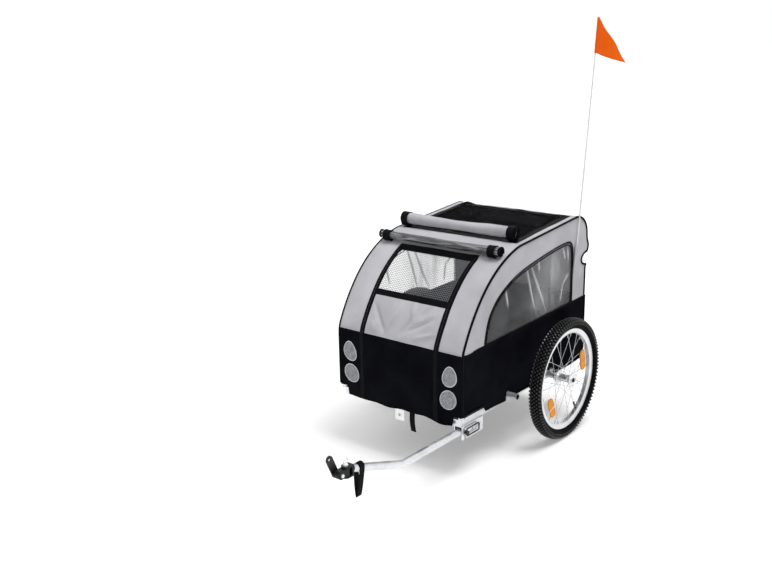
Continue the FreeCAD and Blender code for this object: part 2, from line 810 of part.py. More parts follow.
def cabin_frame():
    """Two bent hoops on spigots, tied by cross bars."""
    first = d.hoop_foot_z - d.front_hem_z
    last = REAR_HEM - (d.hoop_foot_z - d.side_hem_z)
    edges, start, end, _ = walk_outline(first, last, d.hoop_inset)
    for side, sign in (("left", ""), ("right", "-")):
        name = f"{side}_hoop"
        outer = swept(f"{name}_outer", edges, start, "dim.hoop_radius")
        inner = swept(f"{name}_inner", edges, start, "dim.hoop_radius - dim.hoop_wall")
        subpart(cut(name, outer, inner), name, y=f"{sign}dim.hoop_y")

    spigots = []
    inner_edge = d.rail_y - d.rail_size / 2
    outer_edge = d.hoop_y + d.hoop_radius
    for x in (start[0], end[0]):
        for sign in (1, -1):
            low = inner_edge if sign > 0 else -outer_edge
            corner = Vector(x - d.hoop_radius, low, d.rail_top_z)
            height = d.hoop_foot_z - d.fit_gap - d.rail_top_z
            foot = Part.makeBox(2 * d.hoop_radius, outer_edge - inner_edge, height, corner)
            post = Part.makeCylinder(
                d.hoop_radius - d.hoop_wall - d.spigot_gap,
                d.spigot_length,
                Vector(x, sign * d.hoop_y, d.rail_top_z),
            )
            spigots.append(foot.fuse(post))
    group("hoop_spigots", spigots)

    bars = []
    for run in (d.hinge_run + d.front_crossbar_set_back, ROOF_END + d.rear_crossbar_set_back):
        (x, z), _, _ = outline_end(run, d.hoop_inset)
        foot = Vector(x, -d.crossbar_half_length, z)
        along = Vector(0, 1, 0)
        outer = Part.makeCylinder(d.crossbar_radius, 2 * d.crossbar_half_length, foot, along)
        inner_radius = d.crossbar_radius - d.crossbar_wall
        bars.append(outer.cut(Part.makeCylinder(inner_radius, 2 * d.crossbar_half_length, foot, along)))
    group("roof_crossbars", bars)


def window_outline(clear):
    """The side window, drawn in on all sides by a clearance; its lower edge lies along the waist seam."""
    rear = d.cover_rear_x + d.window_rear_margin + clear
    front = WAIST_FRONT[0] - d.window_front_margin - clear
    top = d.roof_rear_z - d.window_top_margin - clear
    corner = d.window_corner_radius
    knee, _, _ = outline_end(d.hinge_run + d.window_knee_set_back, d.window_knee_margin + clear)
    brow_start = (rear + corner, top)
    crown = ((brow_start[0] + knee[0]) / 2, (top + knee[1]) / 2 + d.window_crown_rise)
    low_rear = (rear, waist_height(rear) + clear)
    low_front = (front, waist_height(front) + clear)
    bow = math.hypot(low_front[0] - knee[0], low_front[1] - knee[1])
    nose = (
        (knee[0] + low_front[0]) / 2 + d.window_nose_rise * (knee[1] - low_front[1]) / bow,
        (knee[1] + low_front[1]) / 2 + d.window_nose_rise * (low_front[0] - knee[0]) / bow,
    )
    edges = [
        line(low_rear, (rear, top - corner)),
        arc((rear + corner, top - corner), corner, 90, 180),
        arc_through(brow_start, crown, knee),
        arc_through(knee, nose, low_front),
    ]
    return edges, low_rear, low_front


WAIST_INSET = d.cover_thickness + d.fit_gap
WAIST_FRONT = outline_end(d.waist_run, WAIST_INSET)[0]
WAIST_REAR = (outline_end(REAR_WAIST, WAIST_INSET)[0][0], d.rear_waist_z)


def waist_height(x):
    """The height of the seam between the skirt and the side panel."""
    share = (WAIST_FRONT[0] - x) / (WAIST_FRONT[0] - WAIST_REAR[0])
    return WAIST_FRONT[1] + share * (WAIST_REAR[1] - WAIST_FRONT[1])


def tube_slot(name, x):
    """The slot in a skirt's hem that a cross tube comes out through."""
    half = "(dim.cross_tube_radius + dim.tube_slot_gap)"
    depth = "dim.cover_thickness + 2 * dim.overrun"
    low = "-dim.cover_thickness - dim.overrun"
    end = cylinder(f"{name}_end", half, depth, x=x, y=low, z="dim.tyre_radius", turn=ALONG_Y)
    foot = "dim.side_hem_z - dim.overrun"
    height = f"dim.tyre_radius - ({foot})"
    sides = block(f"{name}_sides", f"2 * {half}", depth, height, x=f"{x} - {half}", y=low, z=foot)
    return fuse(name, end, sides)


def cover_sides():
    """Flat side panels with windows above the waist seam, and skirts below it."""
    panel, panel_start, panel_end, _ = walk_outline(d.waist_run, REAR_WAIST, WAIST_INSET)
    frame, low_rear, low_front = window_outline(0)
    panel = [*panel, line(panel_end, low_rear), *frame, line(low_front, panel_start)]
    lead, lead_start, lead_end, _ = walk_outline(d.side_hem_z - d.front_hem_z, d.waist_run, WAIST_INSET)
    hem_rear = (WAIST_REAR[0], d.side_hem_z)
    skirt = [*lead, line(lead_end, WAIST_REAR), line(WAIST_REAR, hem_rear), line(hem_rear, lead_start)]
    outer = {"left": "dim.cover_half_width", "right": "-dim.cover_half_width + dim.cover_thickness"}
    for side, y in outer.items():
        name = f"{side}_side_panel"
        subpart(padded(name, "XZ_Plane", panel, "dim.cover_thickness"), name, y=y)
        name = f"{side}_skirt"
        whole = padded(f"{name}_cloth", "XZ_Plane", skirt, "dim.cover_thickness")
        notch = block(
            f"{name}_notch",
            "dim.cover_front_x - dim.bracket_notch_x",
            "dim.cover_thickness + 2 * dim.overrun",
            "dim.corner_hem_z - dim.front_hem_z",
            x="dim.bracket_notch_x",
            y="-dim.cover_thickness - dim.overrun",
            z="dim.front_hem_z",
        )
        slots = [tube_slot(f"{name}_axle_slot", "0"), tube_slot(f"{name}_front_slot", "dim.front_cross_x")]
        subpart(cut(name, whole, notch, *slots), name, y=y)

    panes = []
    frame, low_rear, low_front = window_outline(d.fit_gap)
    face = Part.Face(Part.Wire([edge.toShape() for edge in [line(low_front, low_rear), *frame]]))
    face.rotate(Vector(), Vector(1, 0, 0), 90)
    for low in (d.cover_half_width - d.cover_thickness, -d.cover_half_width):
        pane = face.translated(Vector(0, low, 0))
        panes.append(pane.extrude(Vector(0, d.cover_thickness, 0)))
    group("side_windows", panes)

    beads = []
    edges, start, _, heading = walk_outline(d.waist_run, REAR_WAIST, d.piping_radius)
    lean = outline_end(d.waist_run, d.piping_radius)[1]
    for side, sign in (("left", ""), ("right", "-")):
        facing = Rotation(Vector(0, 1, 0), 90 - lean)
        bead = swept(f"{side}_piping", edges, start, "dim.piping_radius", facing)
        beads.append(put(bead, y=f"{sign}dim.piping_y"))
    piping = doc.addObject("Part::Compound", "edge_piping")
    piping.Links = beads
    subpart(piping, "edge_piping")


def cover_wrap():
    """The cloth that goes round from the front skirts over the roof to the rear hem."""
    full = "2 * dim.cover_half_width"
    stretches = {
        "brow_panel": (d.hinge_run + d.fit_gap, ROOF_START),
        "roof_mesh": (ROOF_START, ROOF_END),
        "rear_panel": (ROOF_END, REAR_WAIST),
        "rear_skirt": (REAR_WAIST, REAR_HEM),
    }
    for name, (first, last) in stretches.items():
        subpart(padded(name, "XZ_Plane", cloth_strip(first, last), full, symmetric=True), name)

    strip_width = d.cover_half_width - d.door_half_width - d.fit_gap
    skirts = []
    strips = []
    for first, last, solids in ((0.0, d.waist_run, skirts), (d.waist_run, d.hinge_run, strips)):
        wire = Part.Wire(Part.__sortEdges__([edge.toShape() for edge in cloth_strip(first, last)]))
        face = Part.Face(wire)
        face.rotate(Vector(), Vector(1, 0, 0), 90)
        for low in (d.door_half_width + d.fit_gap, -d.cover_half_width):
            solids.append(face.translated(Vector(0, low, 0)).extrude(Vector(0, strip_width, 0)))
    notched = []
    for solid, low in zip(skirts, (d.cover_half_width - d.corner_notch, -d.cover_half_width - d.overrun)):
        corner = Vector(d.cover_front_x - d.cover_thickness - d.overrun, low, d.front_hem_z - d.overrun)
        height = d.corner_hem_z - d.front_hem_z + d.overrun
        size = (d.cover_thickness + 2 * d.overrun, d.corner_notch + d.overrun, height)
        notched.append(solid.cut(Part.makeBox(*size, corner)))
    group("front_skirts", notched)
    group("front_strips", strips)


def front_door():
    """The door between the zips, hung from its top edge."""
    width = "2 * dim.door_half_width"
    panel = padded("door_panel", "XZ_Plane", cloth_strip(0.0, d.band_run), width, symmetric=True)
    subpart(panel, "door_panel")
    mesh = padded("door_mesh", "XZ_Plane", cloth_strip(d.band_run, d.hinge_run), width, symmetric=True)
    subpart(mesh, "door_mesh")


def roll_section(radius, pitch, sheet_thickness, half_turns):
    """A rolled sheet seen from its end: half circles that close in by half a pitch each."""
    outer = []
    inner = []
    for number in range(half_turns):
        bend = radius - number * pitch / 2
        centre = (-pitch / 2 * (number % 2), 0)
        start = 180 * (number % 2)
        outer.append(arc(centre, bend, start, start + 180))
        inner.append(arc(centre, bend - sheet_thickness, start, start + 180))
    side = -1 if half_turns % 2 else 1
    last = half_turns - 1
    tip = -pitch / 2 * (last % 2) + side * (radius - last * pitch / 2)
    return [
        *outer,
        line((tip, 0), (tip - side * sheet_thickness, 0)),
        *inner,
        line((radius - sheet_thickness, 0), (radius, 0)),
    ]


def rolled_covers():
    """The rolled roof cover and rain cover, and the webbing loops that hold them on the cover."""
    rolls = {
        "roof_cover_roll": (
            ROOF_START, d.roof_roll_radius, d.roof_roll_pitch, d.roof_roll_sheet, ROLL_HALF_TURNS),
        "rain_cover_roll": (
            d.hinge_run, d.rain_roll_radius, d.rain_roll_pitch, d.rain_roll_sheet, RAIN_HALF_TURNS),
    }
    loops = []
    for name, (edge_run, *section) in rolls.items():
        kind = name.split("_cover_")[0]
        roll = padded(name, "XZ_Plane", roll_section(*section), f"dim.{kind}_roll_length")
        run = edge_run + getattr(d, f"{kind}_roll_set_back")
        left = getattr(d, f"{kind}_roll_left_y")
        inset = getattr(d, f"{kind}_loop_inset")
        (x, z), _, (out_x, out_z) = outline_end(run)
        stand = section[0] + d.loop_thickness + 2 * d.fit_gap
        centre = (x + stand * out_x, z + stand * out_z)
        subpart(roll, name, x=str(centre[0]), y=f"dim.{kind}_roll_left_y", z=str(centre[1]))
        right = left - getattr(d, f"{kind}_roll_length")
        inner = section[0] + d.fit_gap
        for low in (left - inset - d.loop_width, right + inset):
            foot = Vector(centre[0], low, centre[1])
            ring = Part.makeCylinder(inner + d.loop_thickness, d.loop_width, foot, Vector(0, 1, 0))
            loops.append(ring.cut(Part.makeCylinder(inner, d.loop_width, foot, Vector(0, 1, 0))))
    group("roll_loops", loops)


def front_trim():
    """Reflective patches, the hanging strap and the plate with a hole."""
    patches = []
    for sign in (1, -1):
        for z in (d.upper_patch_z, d.lower_patch_z):
            centre = Vector(d.cover_front_x, sign * d.patch_y, z)
            patches.append(Part.makeCylinder(d.patch_radius, d.patch_thickness, centre, Vector(1, 0, 0)))
    group("reflective_patches", patches)

    face = "dim.front_rail_x + dim.rail_size / 2"
    top = "dim.rail_top_z"
    strap = block("hem_strap", "dim.strap_thickness", "dim.strap_width", f"{top} - dim.strap_low_z")
    subpart(strap, "hem_strap", x=f"{face} + dim.fit_gap", y="dim.strap_y", z="dim.strap_low_z")

    plate = block("plate", "dim.plate_thickness", "dim.plate_width", f"{top} - dim.plate_low_z")
    hole = cylinder(
        "plate_hole",
        "dim.plate_hole_radius",
        "dim.plate_thickness + 2 * dim.overrun",
        x="-dim.overrun",
        y="dim.plate_width / 2",
        z="dim.plate_hole_rise",
        turn=ALONG_X,
    )
    holed = cut("front_plate", plate, hole)
    subpart(holed, "front_plate", x=face, y="-dim.plate_width / 2", z="dim.plate_low_z")


def side_hole(name, radius, x, z="dim.bar_z"):
    """A hole across the tow bracket and bar."""
    reach = "(dim.bracket_outer_half + dim.overrun)"
    return cylinder(name, radius, f"2 * {reach}", x=x, y=f"-{reach}", z=z, turn=ALONG_Y)


def tow_bracket():
    """A channel under the left rail, open below, with its pivot bolt."""
    out = d.bracket_outer_half
    inn = d.bracket_inner_half
    low = d.bracket_low_z
    top = d.bracket_top_z
    under = top - d.bracket_wall
    points = [
        (-out, low), (-inn, low), (-inn, under), (inn, under),
        (inn, low), (out, low), (out, top), (-out, top)]
    length = "dim.bracket_front_x - dim.bracket_rear_x"
    channel = put(padded("channel", "YZ_Plane", polygon(points), length), x="dim.bracket_rear_x")
    room = "dim.lock_pin_radius + dim.notch_room"
    notch = block(
        "pin_notch",
        f"2 * ({room}) + dim.notch_sweep",
        "2 * (dim.bracket_outer_half + dim.overrun)",
        "dim.bar_z - dim.bracket_low_z + dim.overrun",
        x=f"dim.lock_pin_x - ({room}) - dim.notch_sweep",
        y="-dim.bracket_outer_half - dim.overrun",
        z="dim.bracket_low_z - dim.overrun",
    )
    tools = [
        side_hole("pivot_hole", "dim.bolt_radius + dim.running_gap", "dim.pivot_x"),
        side_hole("spare_hole", "dim.bolt_radius", "dim.spare_hole_x"),
        side_hole("notch_end", room, "dim.lock_pin_x"),
        notch,
    ]
    subpart(cut("tow_bracket", channel, *tools), "tow_bracket", y="dim.rail_y")

    shank = cylinder(
        "bolt_shank",
        "dim.bolt_radius",
        "2 * (dim.bracket_outer_half + dim.bolt_head_height)",
        y="-dim.bracket_outer_half - dim.bolt_head_height",
        turn=ALONG_Y,
    )
    heads = []
    for name, y in (
        ("bolt_head", "dim.bracket_outer_half"),
        ("bolt_nut", "-dim.bracket_outer_half - dim.bolt_head_height"),
    ):
        head = doc.addObject("Part::Prism", name)
        head.Polygon = 6
        bind(head, Circumradius="dim.bolt_head_radius", Height="dim.bolt_head_height")
        heads.append(put(head, y=y, turn=ALONG_Y))
    bolt = fuse("pivot_bolt", shank, *heads)
    subpart(bolt, "pivot_bolt", x="dim.pivot_x", y="dim.rail_y", z="dim.bar_z")


RISE = math.degrees(math.atan2(d.bar_end_rise, d.bar_end_x - d.bar_bend_x))


def tow_bar():
    """The bent bar, its lock pin and the pin's wire bail."""
    lead = d.bar_bend_radius * math.tan(math.radians(RISE / 2))
    start = (d.bar_rear_x, d.bar_z)
    nose = math.hypot(d.bar_end_rise, d.bar_end_x - d.bar_bend_x)
    stretches = [(0, d.bar_bend_x - d.bar_rear_x - lead), (d.bar_bend_radius, RISE), (0, nose - lead)]
    edges = []
    point = start
    heading = 0.0
    for radius, size in stretches:
        point, heading, edge = step(point, heading, radius, size)
        edges.append(edge)
    outer = swept("bar_outer", edges, start, "dim.bar_radius", ALONG_X)
    inner = swept("bar_inner", edges, start, "dim.bar_radius - dim.bar_wall", ALONG_X)
    holes = [
        side_hole("bar_pivot_hole", "dim.bolt_radius + dim.running_gap", "dim.pivot_x"),
        side_hole("bar_pin_hole", "dim.lock_pin_radius + dim.running_gap", "dim.lock_pin_x"),
    ]
    subpart(cut("tow_bar_tube", outer, inner, *holes), "tow_bar_tube", y="dim.rail_y")

    out = "dim.bracket_outer_half"
    shank = cylinder(
        "pin_shank",
        "dim.lock_pin_radius",
        f"2 * {out} + dim.pin_tip + dim.fit_gap",
        y=f"-{out} - dim.pin_tip",
        turn=ALONG_Y,
    )
    head_y = f"{out} + dim.fit_gap"
    head = cylinder("pin_head", "dim.pin_head_radius", "dim.pin_head_length", y=head_y, turn=ALONG_Y)
    eye = cylinder(
        "pin_eye",
        "dim.bail_radius + dim.running_gap",
        "2 * (dim.pin_head_radius + dim.overrun)",
        y=f"{out} + dim.fit_gap + dim.pin_head_length / 2",
        z="-dim.pin_head_radius - dim.overrun",
    )
    pin = cut("lock_pin", fuse("lock_pin", shank, head), eye)
    subpart(pin, "lock_pin", x="dim.lock_pin_x", y="dim.rail_y", z="dim.bar_z")

    tip = d.pin_head_radius - d.bail_stub
    top = d.bail_half_width
    back = -d.bail_length
    bend = d.bail_corner
    wire = [
        line((0, tip), (0, top - bend)),
        arc((-bend, top - bend), bend, 0, 90),
        line((-bend, top), (back + bend, top)),
        arc((back + bend, top - bend), bend, 90, 180),
        line((back, top - bend), (back, -top + bend)),
        arc((back + bend, -top + bend), bend, 180, 270),
        line((back + bend, -top), (-bend, -top)),
        arc((-bend, -top + bend), bend, 270, 360),
        line((0, -top + bend), (0, -tip)),
    ]
    bail = swept("bail", wire, (0, tip), "dim.bail_radius")
    bail_y = f"dim.rail_y + {out} + dim.fit_gap + dim.pin_head_length / 2"
    subpart(bail, "pin_bail", x="dim.lock_pin_x", y=bail_y, z="dim.bar_z")


def hitch():
    """Clevis on the bar, coupler, pull pin, hitch arm with the axle eye, and the safety strap."""
    plug = cylinder(
        "plug",
        "dim.bar_radius - dim.bar_wall - dim.fit_gap",
        "dim.clevis_plug + dim.clevis_stand_off + dim.clevis_web / 2",
        x=f"-dim.clevis_plug * {math.cos(math.radians(RISE))}",
        z=f"-dim.clevis_plug * {math.sin(math.radians(RISE))}",
        turn=Rotation(Vector(0, 1, 0), 90 - RISE),
    )
    web = block(
        "web",
        "dim.clevis_web",
        "2 * dim.clevis_half_width",
        "dim.clevis_jaw + 2 * dim.clevis_plate",
        x="dim.clevis_stand_off",
        y="-dim.clevis_half_width",
        z="-dim.clevis_jaw / 2 - dim.clevis_plate",
    )
    pieces = [plug, web]
    pin_at = "dim.clevis_stand_off + dim.clevis_web + dim.clevis_throat"
    for name, low in (("upper", "dim.clevis_jaw / 2"), ("lower", "-dim.clevis_jaw / 2 - dim.clevis_plate")):
        pieces.append(
            block(
                f"{name}_cheek",
                "dim.clevis_web + dim.clevis_throat",
                "2 * dim.clevis_half_width",
                "dim.clevis_plate",
                x="dim.clevis_stand_off",
                y="-dim.clevis_half_width",
                z=low,
            )
        )
        pieces.append(cylinder(f"{name}_lobe", "dim.clevis_half_width", "dim.clevis_plate", x=pin_at, z=low))
    bore = cylinder(
        "clevis_bore",
        "dim.hitch_pin_radius + dim.running_gap",
        "dim.clevis_jaw + 2 * (dim.clevis_plate + dim.overrun)",
        x=pin_at,
        z="-dim.clevis_jaw / 2 - dim.clevis_plate - dim.overrun",
    )
    clevis = cut("bar_clevis", fuse("bar_clevis", *pieces), bore)
    subpart(clevis, "bar_clevis", x="dim.bar_end_x", y="dim.rail_y", z="dim.bar_end_z")

    low = "-dim.coupler_height / 2"
    heel = cylinder("heel", "dim.coupler_half_width", "dim.coupler_height", z=low)
    shank = block(
        "coupler_shank",
        "dim.coupler_reach",
        "2 * dim.coupler_half_width",
        "dim.coupler_height",
        y="-dim.coupler_half_width",
        z=low,
    )
    nose = cylinder(
        "coupler_nose",
        "dim.coupler_height / 2",
        "2 * dim.coupler_half_width",
        x="dim.coupler_reach",
        y="-dim.coupler_half_width",
        turn=ALONG_Y,
    )
    upright = cylinder(
        "coupler_bore",
        "dim.hitch_pin_radius + dim.running_gap",
        "dim.coupler_height + 2 * dim.overrun",
        z=f"{low} - dim.overrun",
    )
    across = cylinder(
        "coupler_eye",
        "dim.arm_bolt_radius + dim.running_gap",
        "2 * (dim.coupler_half_width + dim.overrun)",
        x="dim.coupler_reach",
        y="-dim.coupler_half_width - dim.overrun",
        turn=ALONG_Y,
    )
    coupler = cut("coupler", fuse("coupler", heel, shank, nose), upright, across)
    subpart(coupler, "coupler", x="dim.hitch_pin_x", y="dim.rail_y", z="dim.bar_end_z")

    half = "(dim.clevis_jaw / 2 + dim.clevis_plate)"
    length = f"2 * {half} + dim.hitch_pin_tip"
    stem = cylinder("stem", "dim.hitch_pin_radius", length, z=f"-{half} - dim.hitch_pin_tip")
    cap = cylinder("cap", "dim.hitch_pin_head_radius", "dim.hitch_pin_head_height", z=half)
    ring = doc.addObject("Part::Torus", "pull_ring")
    bind(ring, Radius1="dim.ring_radius", Radius2="dim.ring_wire_radius")
    put(ring, z=f"{half} + dim.hitch_pin_head_height + dim.ring_radius", turn=ALONG_Y)
    pin = fuse("hitch_pin", stem, cap, ring)
    subpart(pin, "hitch_pin", x="dim.hitch_pin_x", y="dim.rail_y", z="dim.bar_end_z")

    edges = [
        *stadium((0, 0), (d.eye_forward, d.eye_rise), d.arm_half_width),
        circle((0, 0), d.arm_bolt_radius + d.running_gap),
        circle((d.eye_forward, d.eye_rise), d.eye_radius),
    ]
    arm = padded("hitch_arm", "XZ_Plane", edges, "dim.arm_thickness")
    arm_y = "dim.rail_y - dim.coupler_half_width - dim.fit_gap"
    subpart(arm, "hitch_arm", x="dim.arm_bolt_x", y=arm_y, z="dim.bar_end_z")

    right = "(dim.coupler_half_width + dim.fit_gap + dim.arm_thickness + dim.arm_bolt_head_height)"
    left = "(dim.coupler_half_width + dim.fit_gap + dim.arm_bolt_head_height)"
    bolt = cylinder("arm_bolt_shank", "dim.arm_bolt_radius", f"{right} + {left}", y=f"-{right}", turn=ALONG_Y)
    heads = []
    for name, y in (("arm_bolt_head", f"{left} - dim.arm_bolt_head_height"), ("arm_bolt_nut", f"-{right}")):
        head = doc.addObject("Part::Prism", name)
        head.Polygon = 6
        bind(head, Circumradius="dim.arm_bolt_head_radius", Height="dim.arm_bolt_head_height")
        heads.append(put(head, y=y, turn=ALONG_Y))
    bolt = fuse("arm_bolt", bolt, *heads)
    subpart(bolt, "arm_bolt", x="dim.arm_bolt_x", y="dim.rail_y", z="dim.bar_end_z")

    slope = math.tan(math.radians(RISE))
    rise = d.safety_width / 2 * slope + d.bar_radius / math.cos(math.radians(RISE)) - d.bar_radius
    inner = d.bar_radius + d.fit_gap
    outer = inner + d.safety_thickness
    top = (0, rise)
    foot = (0, -d.safety_drop)
    outline = stadium(foot, top, outer) + stadium(foot, top, inner)
    band = padded("safety_strap", "YZ_Plane", outline, "dim.safety_width")
    subpart(
        band,
        "safety_strap",
        x="dim.bar_end_x - dim.safety_set_back - dim.safety_width / 2",
        y="dim.rail_y",
        z=f"dim.bar_end_z - dim.safety_set_back * {slope}",
    )


def flag():
    """A sleeve on the left side panel, the pole in it and the pennant at its top."""
    lean = -math.degrees(math.atan(POLE_LEAN_SHARE))
    stretch = math.hypot(1, POLE_LEAN_SHARE)
    tilt = Rotation(Vector(0, 1, 0), lean)
    bore_length = f"(dim.pole_mouth_z - dim.pole_foot_z) * {stretch}"
    length = f"{bore_length} + dim.sleeve_floor"
    tube = cylinder("sleeve_tube", "dim.sleeve_radius", length, z="-dim.sleeve_floor")
    bore = cylinder("sleeve_bore", "dim.pole_radius + dim.pole_gap", f"{bore_length} + dim.overrun")
    place = {
        "x": f"dim.pole_mouth_x + {POLE_LEAN_SHARE} * (dim.pole_mouth_z - dim.pole_foot_z)",
        "y": "dim.sleeve_y",
        "z": "dim.pole_foot_z",
        "turn": tilt,
    }
    subpart(cut("flag_sleeve", tube, bore), "flag_sleeve", **place)
    pole = cylinder("pole", "dim.pole_radius", f"(dim.pole_top_z - dim.pole_foot_z) * {stretch}")
    subpart(pole, "flag_pole", **place)

    fly = Vector(-d.flag_fly_back, d.flag_fly_out, 0)
    out = Vector(fly).normalize()
    clear = out * (d.pole_radius + d.fit_gap)
    hoist = d.pole_top_z - d.flag_foot_z
    foot = Vector(d.flag_foot_x, d.sleeve_y, d.flag_foot_z)
    head = foot + Vector(-POLE_LEAN_SHARE * hoist, 0, hoist)
    tip = foot + fly + Vector(0, 0, -d.flag_droop)
    face = Part.Face(Part.makePolygon([foot + clear, head + clear, tip, foot + clear]))
    across = out.cross(Vector(0, 0, 1)) * d.flag_thickness
    face.translate(across * -0.5)
    group("flag_pennant", [face.extrude(across)])


wheels()
axle_gear()
base_frame()
cabin_frame()
cover_sides()
cover_wrap()
front_door()
rolled_covers()
front_trim()
tow_bracket()
tow_bar()
hitch()
flag()
doc.recompute()

for obj in doc.Objects:
    if {"Invalid", "Error"} & set(obj.State):
        raise RuntimeError(f"{obj.Label} failed: {obj.State}")
for obj in subparts:
    if obj.Shape.isNull() or not obj.Shape.isValid() or not obj.Shape.Solids:
        raise RuntimeError(f"{obj.Label} has no valid solid")

os.makedirs("parts", exist_ok=True)
for obj in subparts:
    obj.Shape.exportStep(f"parts/{obj.Label}.step")
print(len(subparts), "sub-parts written")
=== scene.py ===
import math

import bmesh
import bpy
from mathutils import Matrix, Vector, noise


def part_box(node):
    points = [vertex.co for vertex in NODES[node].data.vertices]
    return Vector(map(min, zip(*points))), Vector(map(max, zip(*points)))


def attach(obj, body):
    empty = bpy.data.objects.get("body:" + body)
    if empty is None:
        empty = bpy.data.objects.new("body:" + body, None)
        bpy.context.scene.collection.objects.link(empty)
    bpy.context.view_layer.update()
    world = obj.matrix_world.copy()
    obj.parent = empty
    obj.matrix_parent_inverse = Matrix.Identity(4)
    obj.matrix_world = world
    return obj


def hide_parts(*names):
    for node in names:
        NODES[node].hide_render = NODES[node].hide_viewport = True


# A dog trailer for a bicycle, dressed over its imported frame: sewn cover, windows, netting, rolled
# covers, zips, webbing, tyres with tread, reflectors and flag. Sizes are in millimetres, and places
# are taken from the ground under the middle of the axle: x forwards, y to the left, z up.

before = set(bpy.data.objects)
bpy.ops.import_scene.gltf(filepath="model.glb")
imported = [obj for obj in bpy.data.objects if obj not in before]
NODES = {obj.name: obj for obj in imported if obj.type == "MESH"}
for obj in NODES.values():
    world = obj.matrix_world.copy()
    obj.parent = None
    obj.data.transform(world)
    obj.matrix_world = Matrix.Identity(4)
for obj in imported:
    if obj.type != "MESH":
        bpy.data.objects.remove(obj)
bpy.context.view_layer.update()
SIDES = (("left", 1), ("right", -1))

# The left tyre's box gives the axle's place, half the track and the wheel's radius.
TYRE_LOW, TYRE_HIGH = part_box("left_tyre")
AXLE_X = (TYRE_LOW[0] + TYRE_HIGH[0]) / 2
TRACK = (TYRE_LOW[1] + TYRE_HIGH[1]) * 500
WHEEL_R = (TYRE_HIGH[2] - TYRE_LOW[2]) * 500

# Half the width of the cover and of its door, and where the front hem starts.
HALF = 298.0
DOOR_HALF = 180.0
FRONT_X = 597.0
FRONT_HEM = 218.0
# The cover's side outline from the front hem over the roof: (bend radius, degrees) or (0, run).
OUTLINE = [(0, 252), (120, 25), (700, 15), (480, 34), (250, 11), (0, 421.6), (87, 95), (0, 900)]
# Seams, as lengths of cloth from the front hem.
WAIST, BAND_LOW, BAND_TOP, HINGE, BROW_BAND = 277, 437, 463, 665, 694
ROOF_START, ROOF_END, TAIL_END, REAR_WAIST, REAR_HEM = 820.5, 1242.1, 1386.3, 1655.9, 1944.9
# The ends of the seam between black skirt and grey side: (x, z).
WAIST_FRONT = (594.4, 494.8)
WAIST_REAR = (-309.5, 516.9)
# The rear cut round the hoop's joint: the height of its middle, and half its height.
CUT_MIDDLE, CUT_HALF = 684.0, 27.0
# How far the flag's pole leans back for each millimetre up.
POLE_LEAN = 0.1217


def at(x, y, z):
    """A place in millimetres from the ground under the axle, as a point of the frame in metres."""
    return Vector((AXLE_X + x / 1000, y / 1000, z / 1000))


def from_node(x, y, z):
    """The same place read back from the frame's metres."""
    return (x - AXLE_X) * 1000, y * 1000, z * 1000


def node_box(name):
    """The low and high corner of a node's box, in millimetres."""
    low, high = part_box(name)
    return from_node(*low), from_node(*high)


def outline(run):
    """The point of the outline at a length of cloth, with its outward direction."""
    x, z, heading = FRONT_X, FRONT_HEM, 90.0
    for radius, size in OUTLINE:
        length = radius * math.radians(size) if radius else size
        part = min(run, length)
        way = math.radians(heading)
        if radius:
            turn = part / radius
            x += radius * (math.sin(way + turn) - math.sin(way))
            z -= radius * (math.cos(way + turn) - math.cos(way))
            heading += math.degrees(turn)
        else:
            x += part * math.cos(way)
            z += part * math.sin(way)
        run -= part
        if run <= 0:
            break
    way = math.radians(heading - 90)
    return x, z, math.cos(way), math.sin(way)


def wrap(run, y, out=0.0):
    """A point on the cover that goes round from the front hem to the rear one."""
    x, z, out_x, out_z = outline(run)
    return at(x + out * out_x, y, z + out * out_z)


def steps(first, last, count):
    """Even steps from first to last, both included."""
    return [first + (last - first) * i / count for i in range(count + 1)]


def smooth(low, high, value):
    """0 before low, 1 after high, and an even ease between them."""
    share = min(max((value - low) / (high - low), 0.0), 1.0)
    return share * share * (3 - 2 * share)


def bump_at(value, middle, half_width):
    """1 at the middle, falling to 0 over about twice the half width."""
    return math.exp(-(((value - middle) / half_width) ** 2))


def ripple(a, b, size_a, size_b, depth, seed):
    """Uneven slack in cloth, from smooth noise with its own grain along each direction."""
    return depth * noise.noise(Vector((a / size_a, b / size_b, seed)))


def crease(a, b, start, end, width, depth):
    """One soft fold from start to end, fading out at both ends."""
    along = Vector((end[0] - start[0], end[1] - start[1]))
    to = Vector((a - start[0], b - start[1]))
    share = to.dot(along) / along.length_squared
    if not 0 < share < 1:
        return 0.0
    off = (to - along * share).length
    return depth * math.exp(-((off / width) ** 2)) * math.sin(math.pi * share)


def rounded(points):
    """A smooth line through points, eight steps from each to the next."""
    line = []
    for i in range(len(points) - 1):
        a, b, c, d = (Vector(points[min(max(i + k, 0), len(points) - 1)]) for k in (-1, 0, 1, 2))
        for step in range(8):
            t = step / 8
            curve = 2 * b + (c - a) * t + (2 * a - 5 * b + 4 * c - d) * t * t
            line.append(0.5 * (curve + (3 * b - a - 3 * c + d) * t**3))
    line.append(Vector(points[-1]))
    return line


class Path:
    """A line of points that can be asked for a place at a length along it."""

    def __init__(self, points):
        self.points = points
        self.runs = [0.0]
        for p, q in zip(points, points[1:]):
            self.runs.append(self.runs[-1] + (q - p).length)
        self.length = self.runs[-1]

    def at(self, run):
        """The point at a length along the line."""
        run = min(max(run, 0.0), self.length)
        for i in range(1, len(self.runs)):
            if run <= self.runs[i]:
                part = (run - self.runs[i - 1]) / max(self.runs[i] - self.runs[i - 1], 1e-9)
                return self.points[i - 1].lerp(self.points[i], part)
        return self.points[-1].copy()

    def nearest(self, point):
        """The length along the line at its point nearest to a given one."""
        return min(zip(self.runs, self.points), key=lambda item: (item[1] - point).length)[0]


def new_object(name, data):
    """An object in the scene."""
    made = bpy.data.objects.new(name, data)
    bpy.context.collection.objects.link(made)
    return made


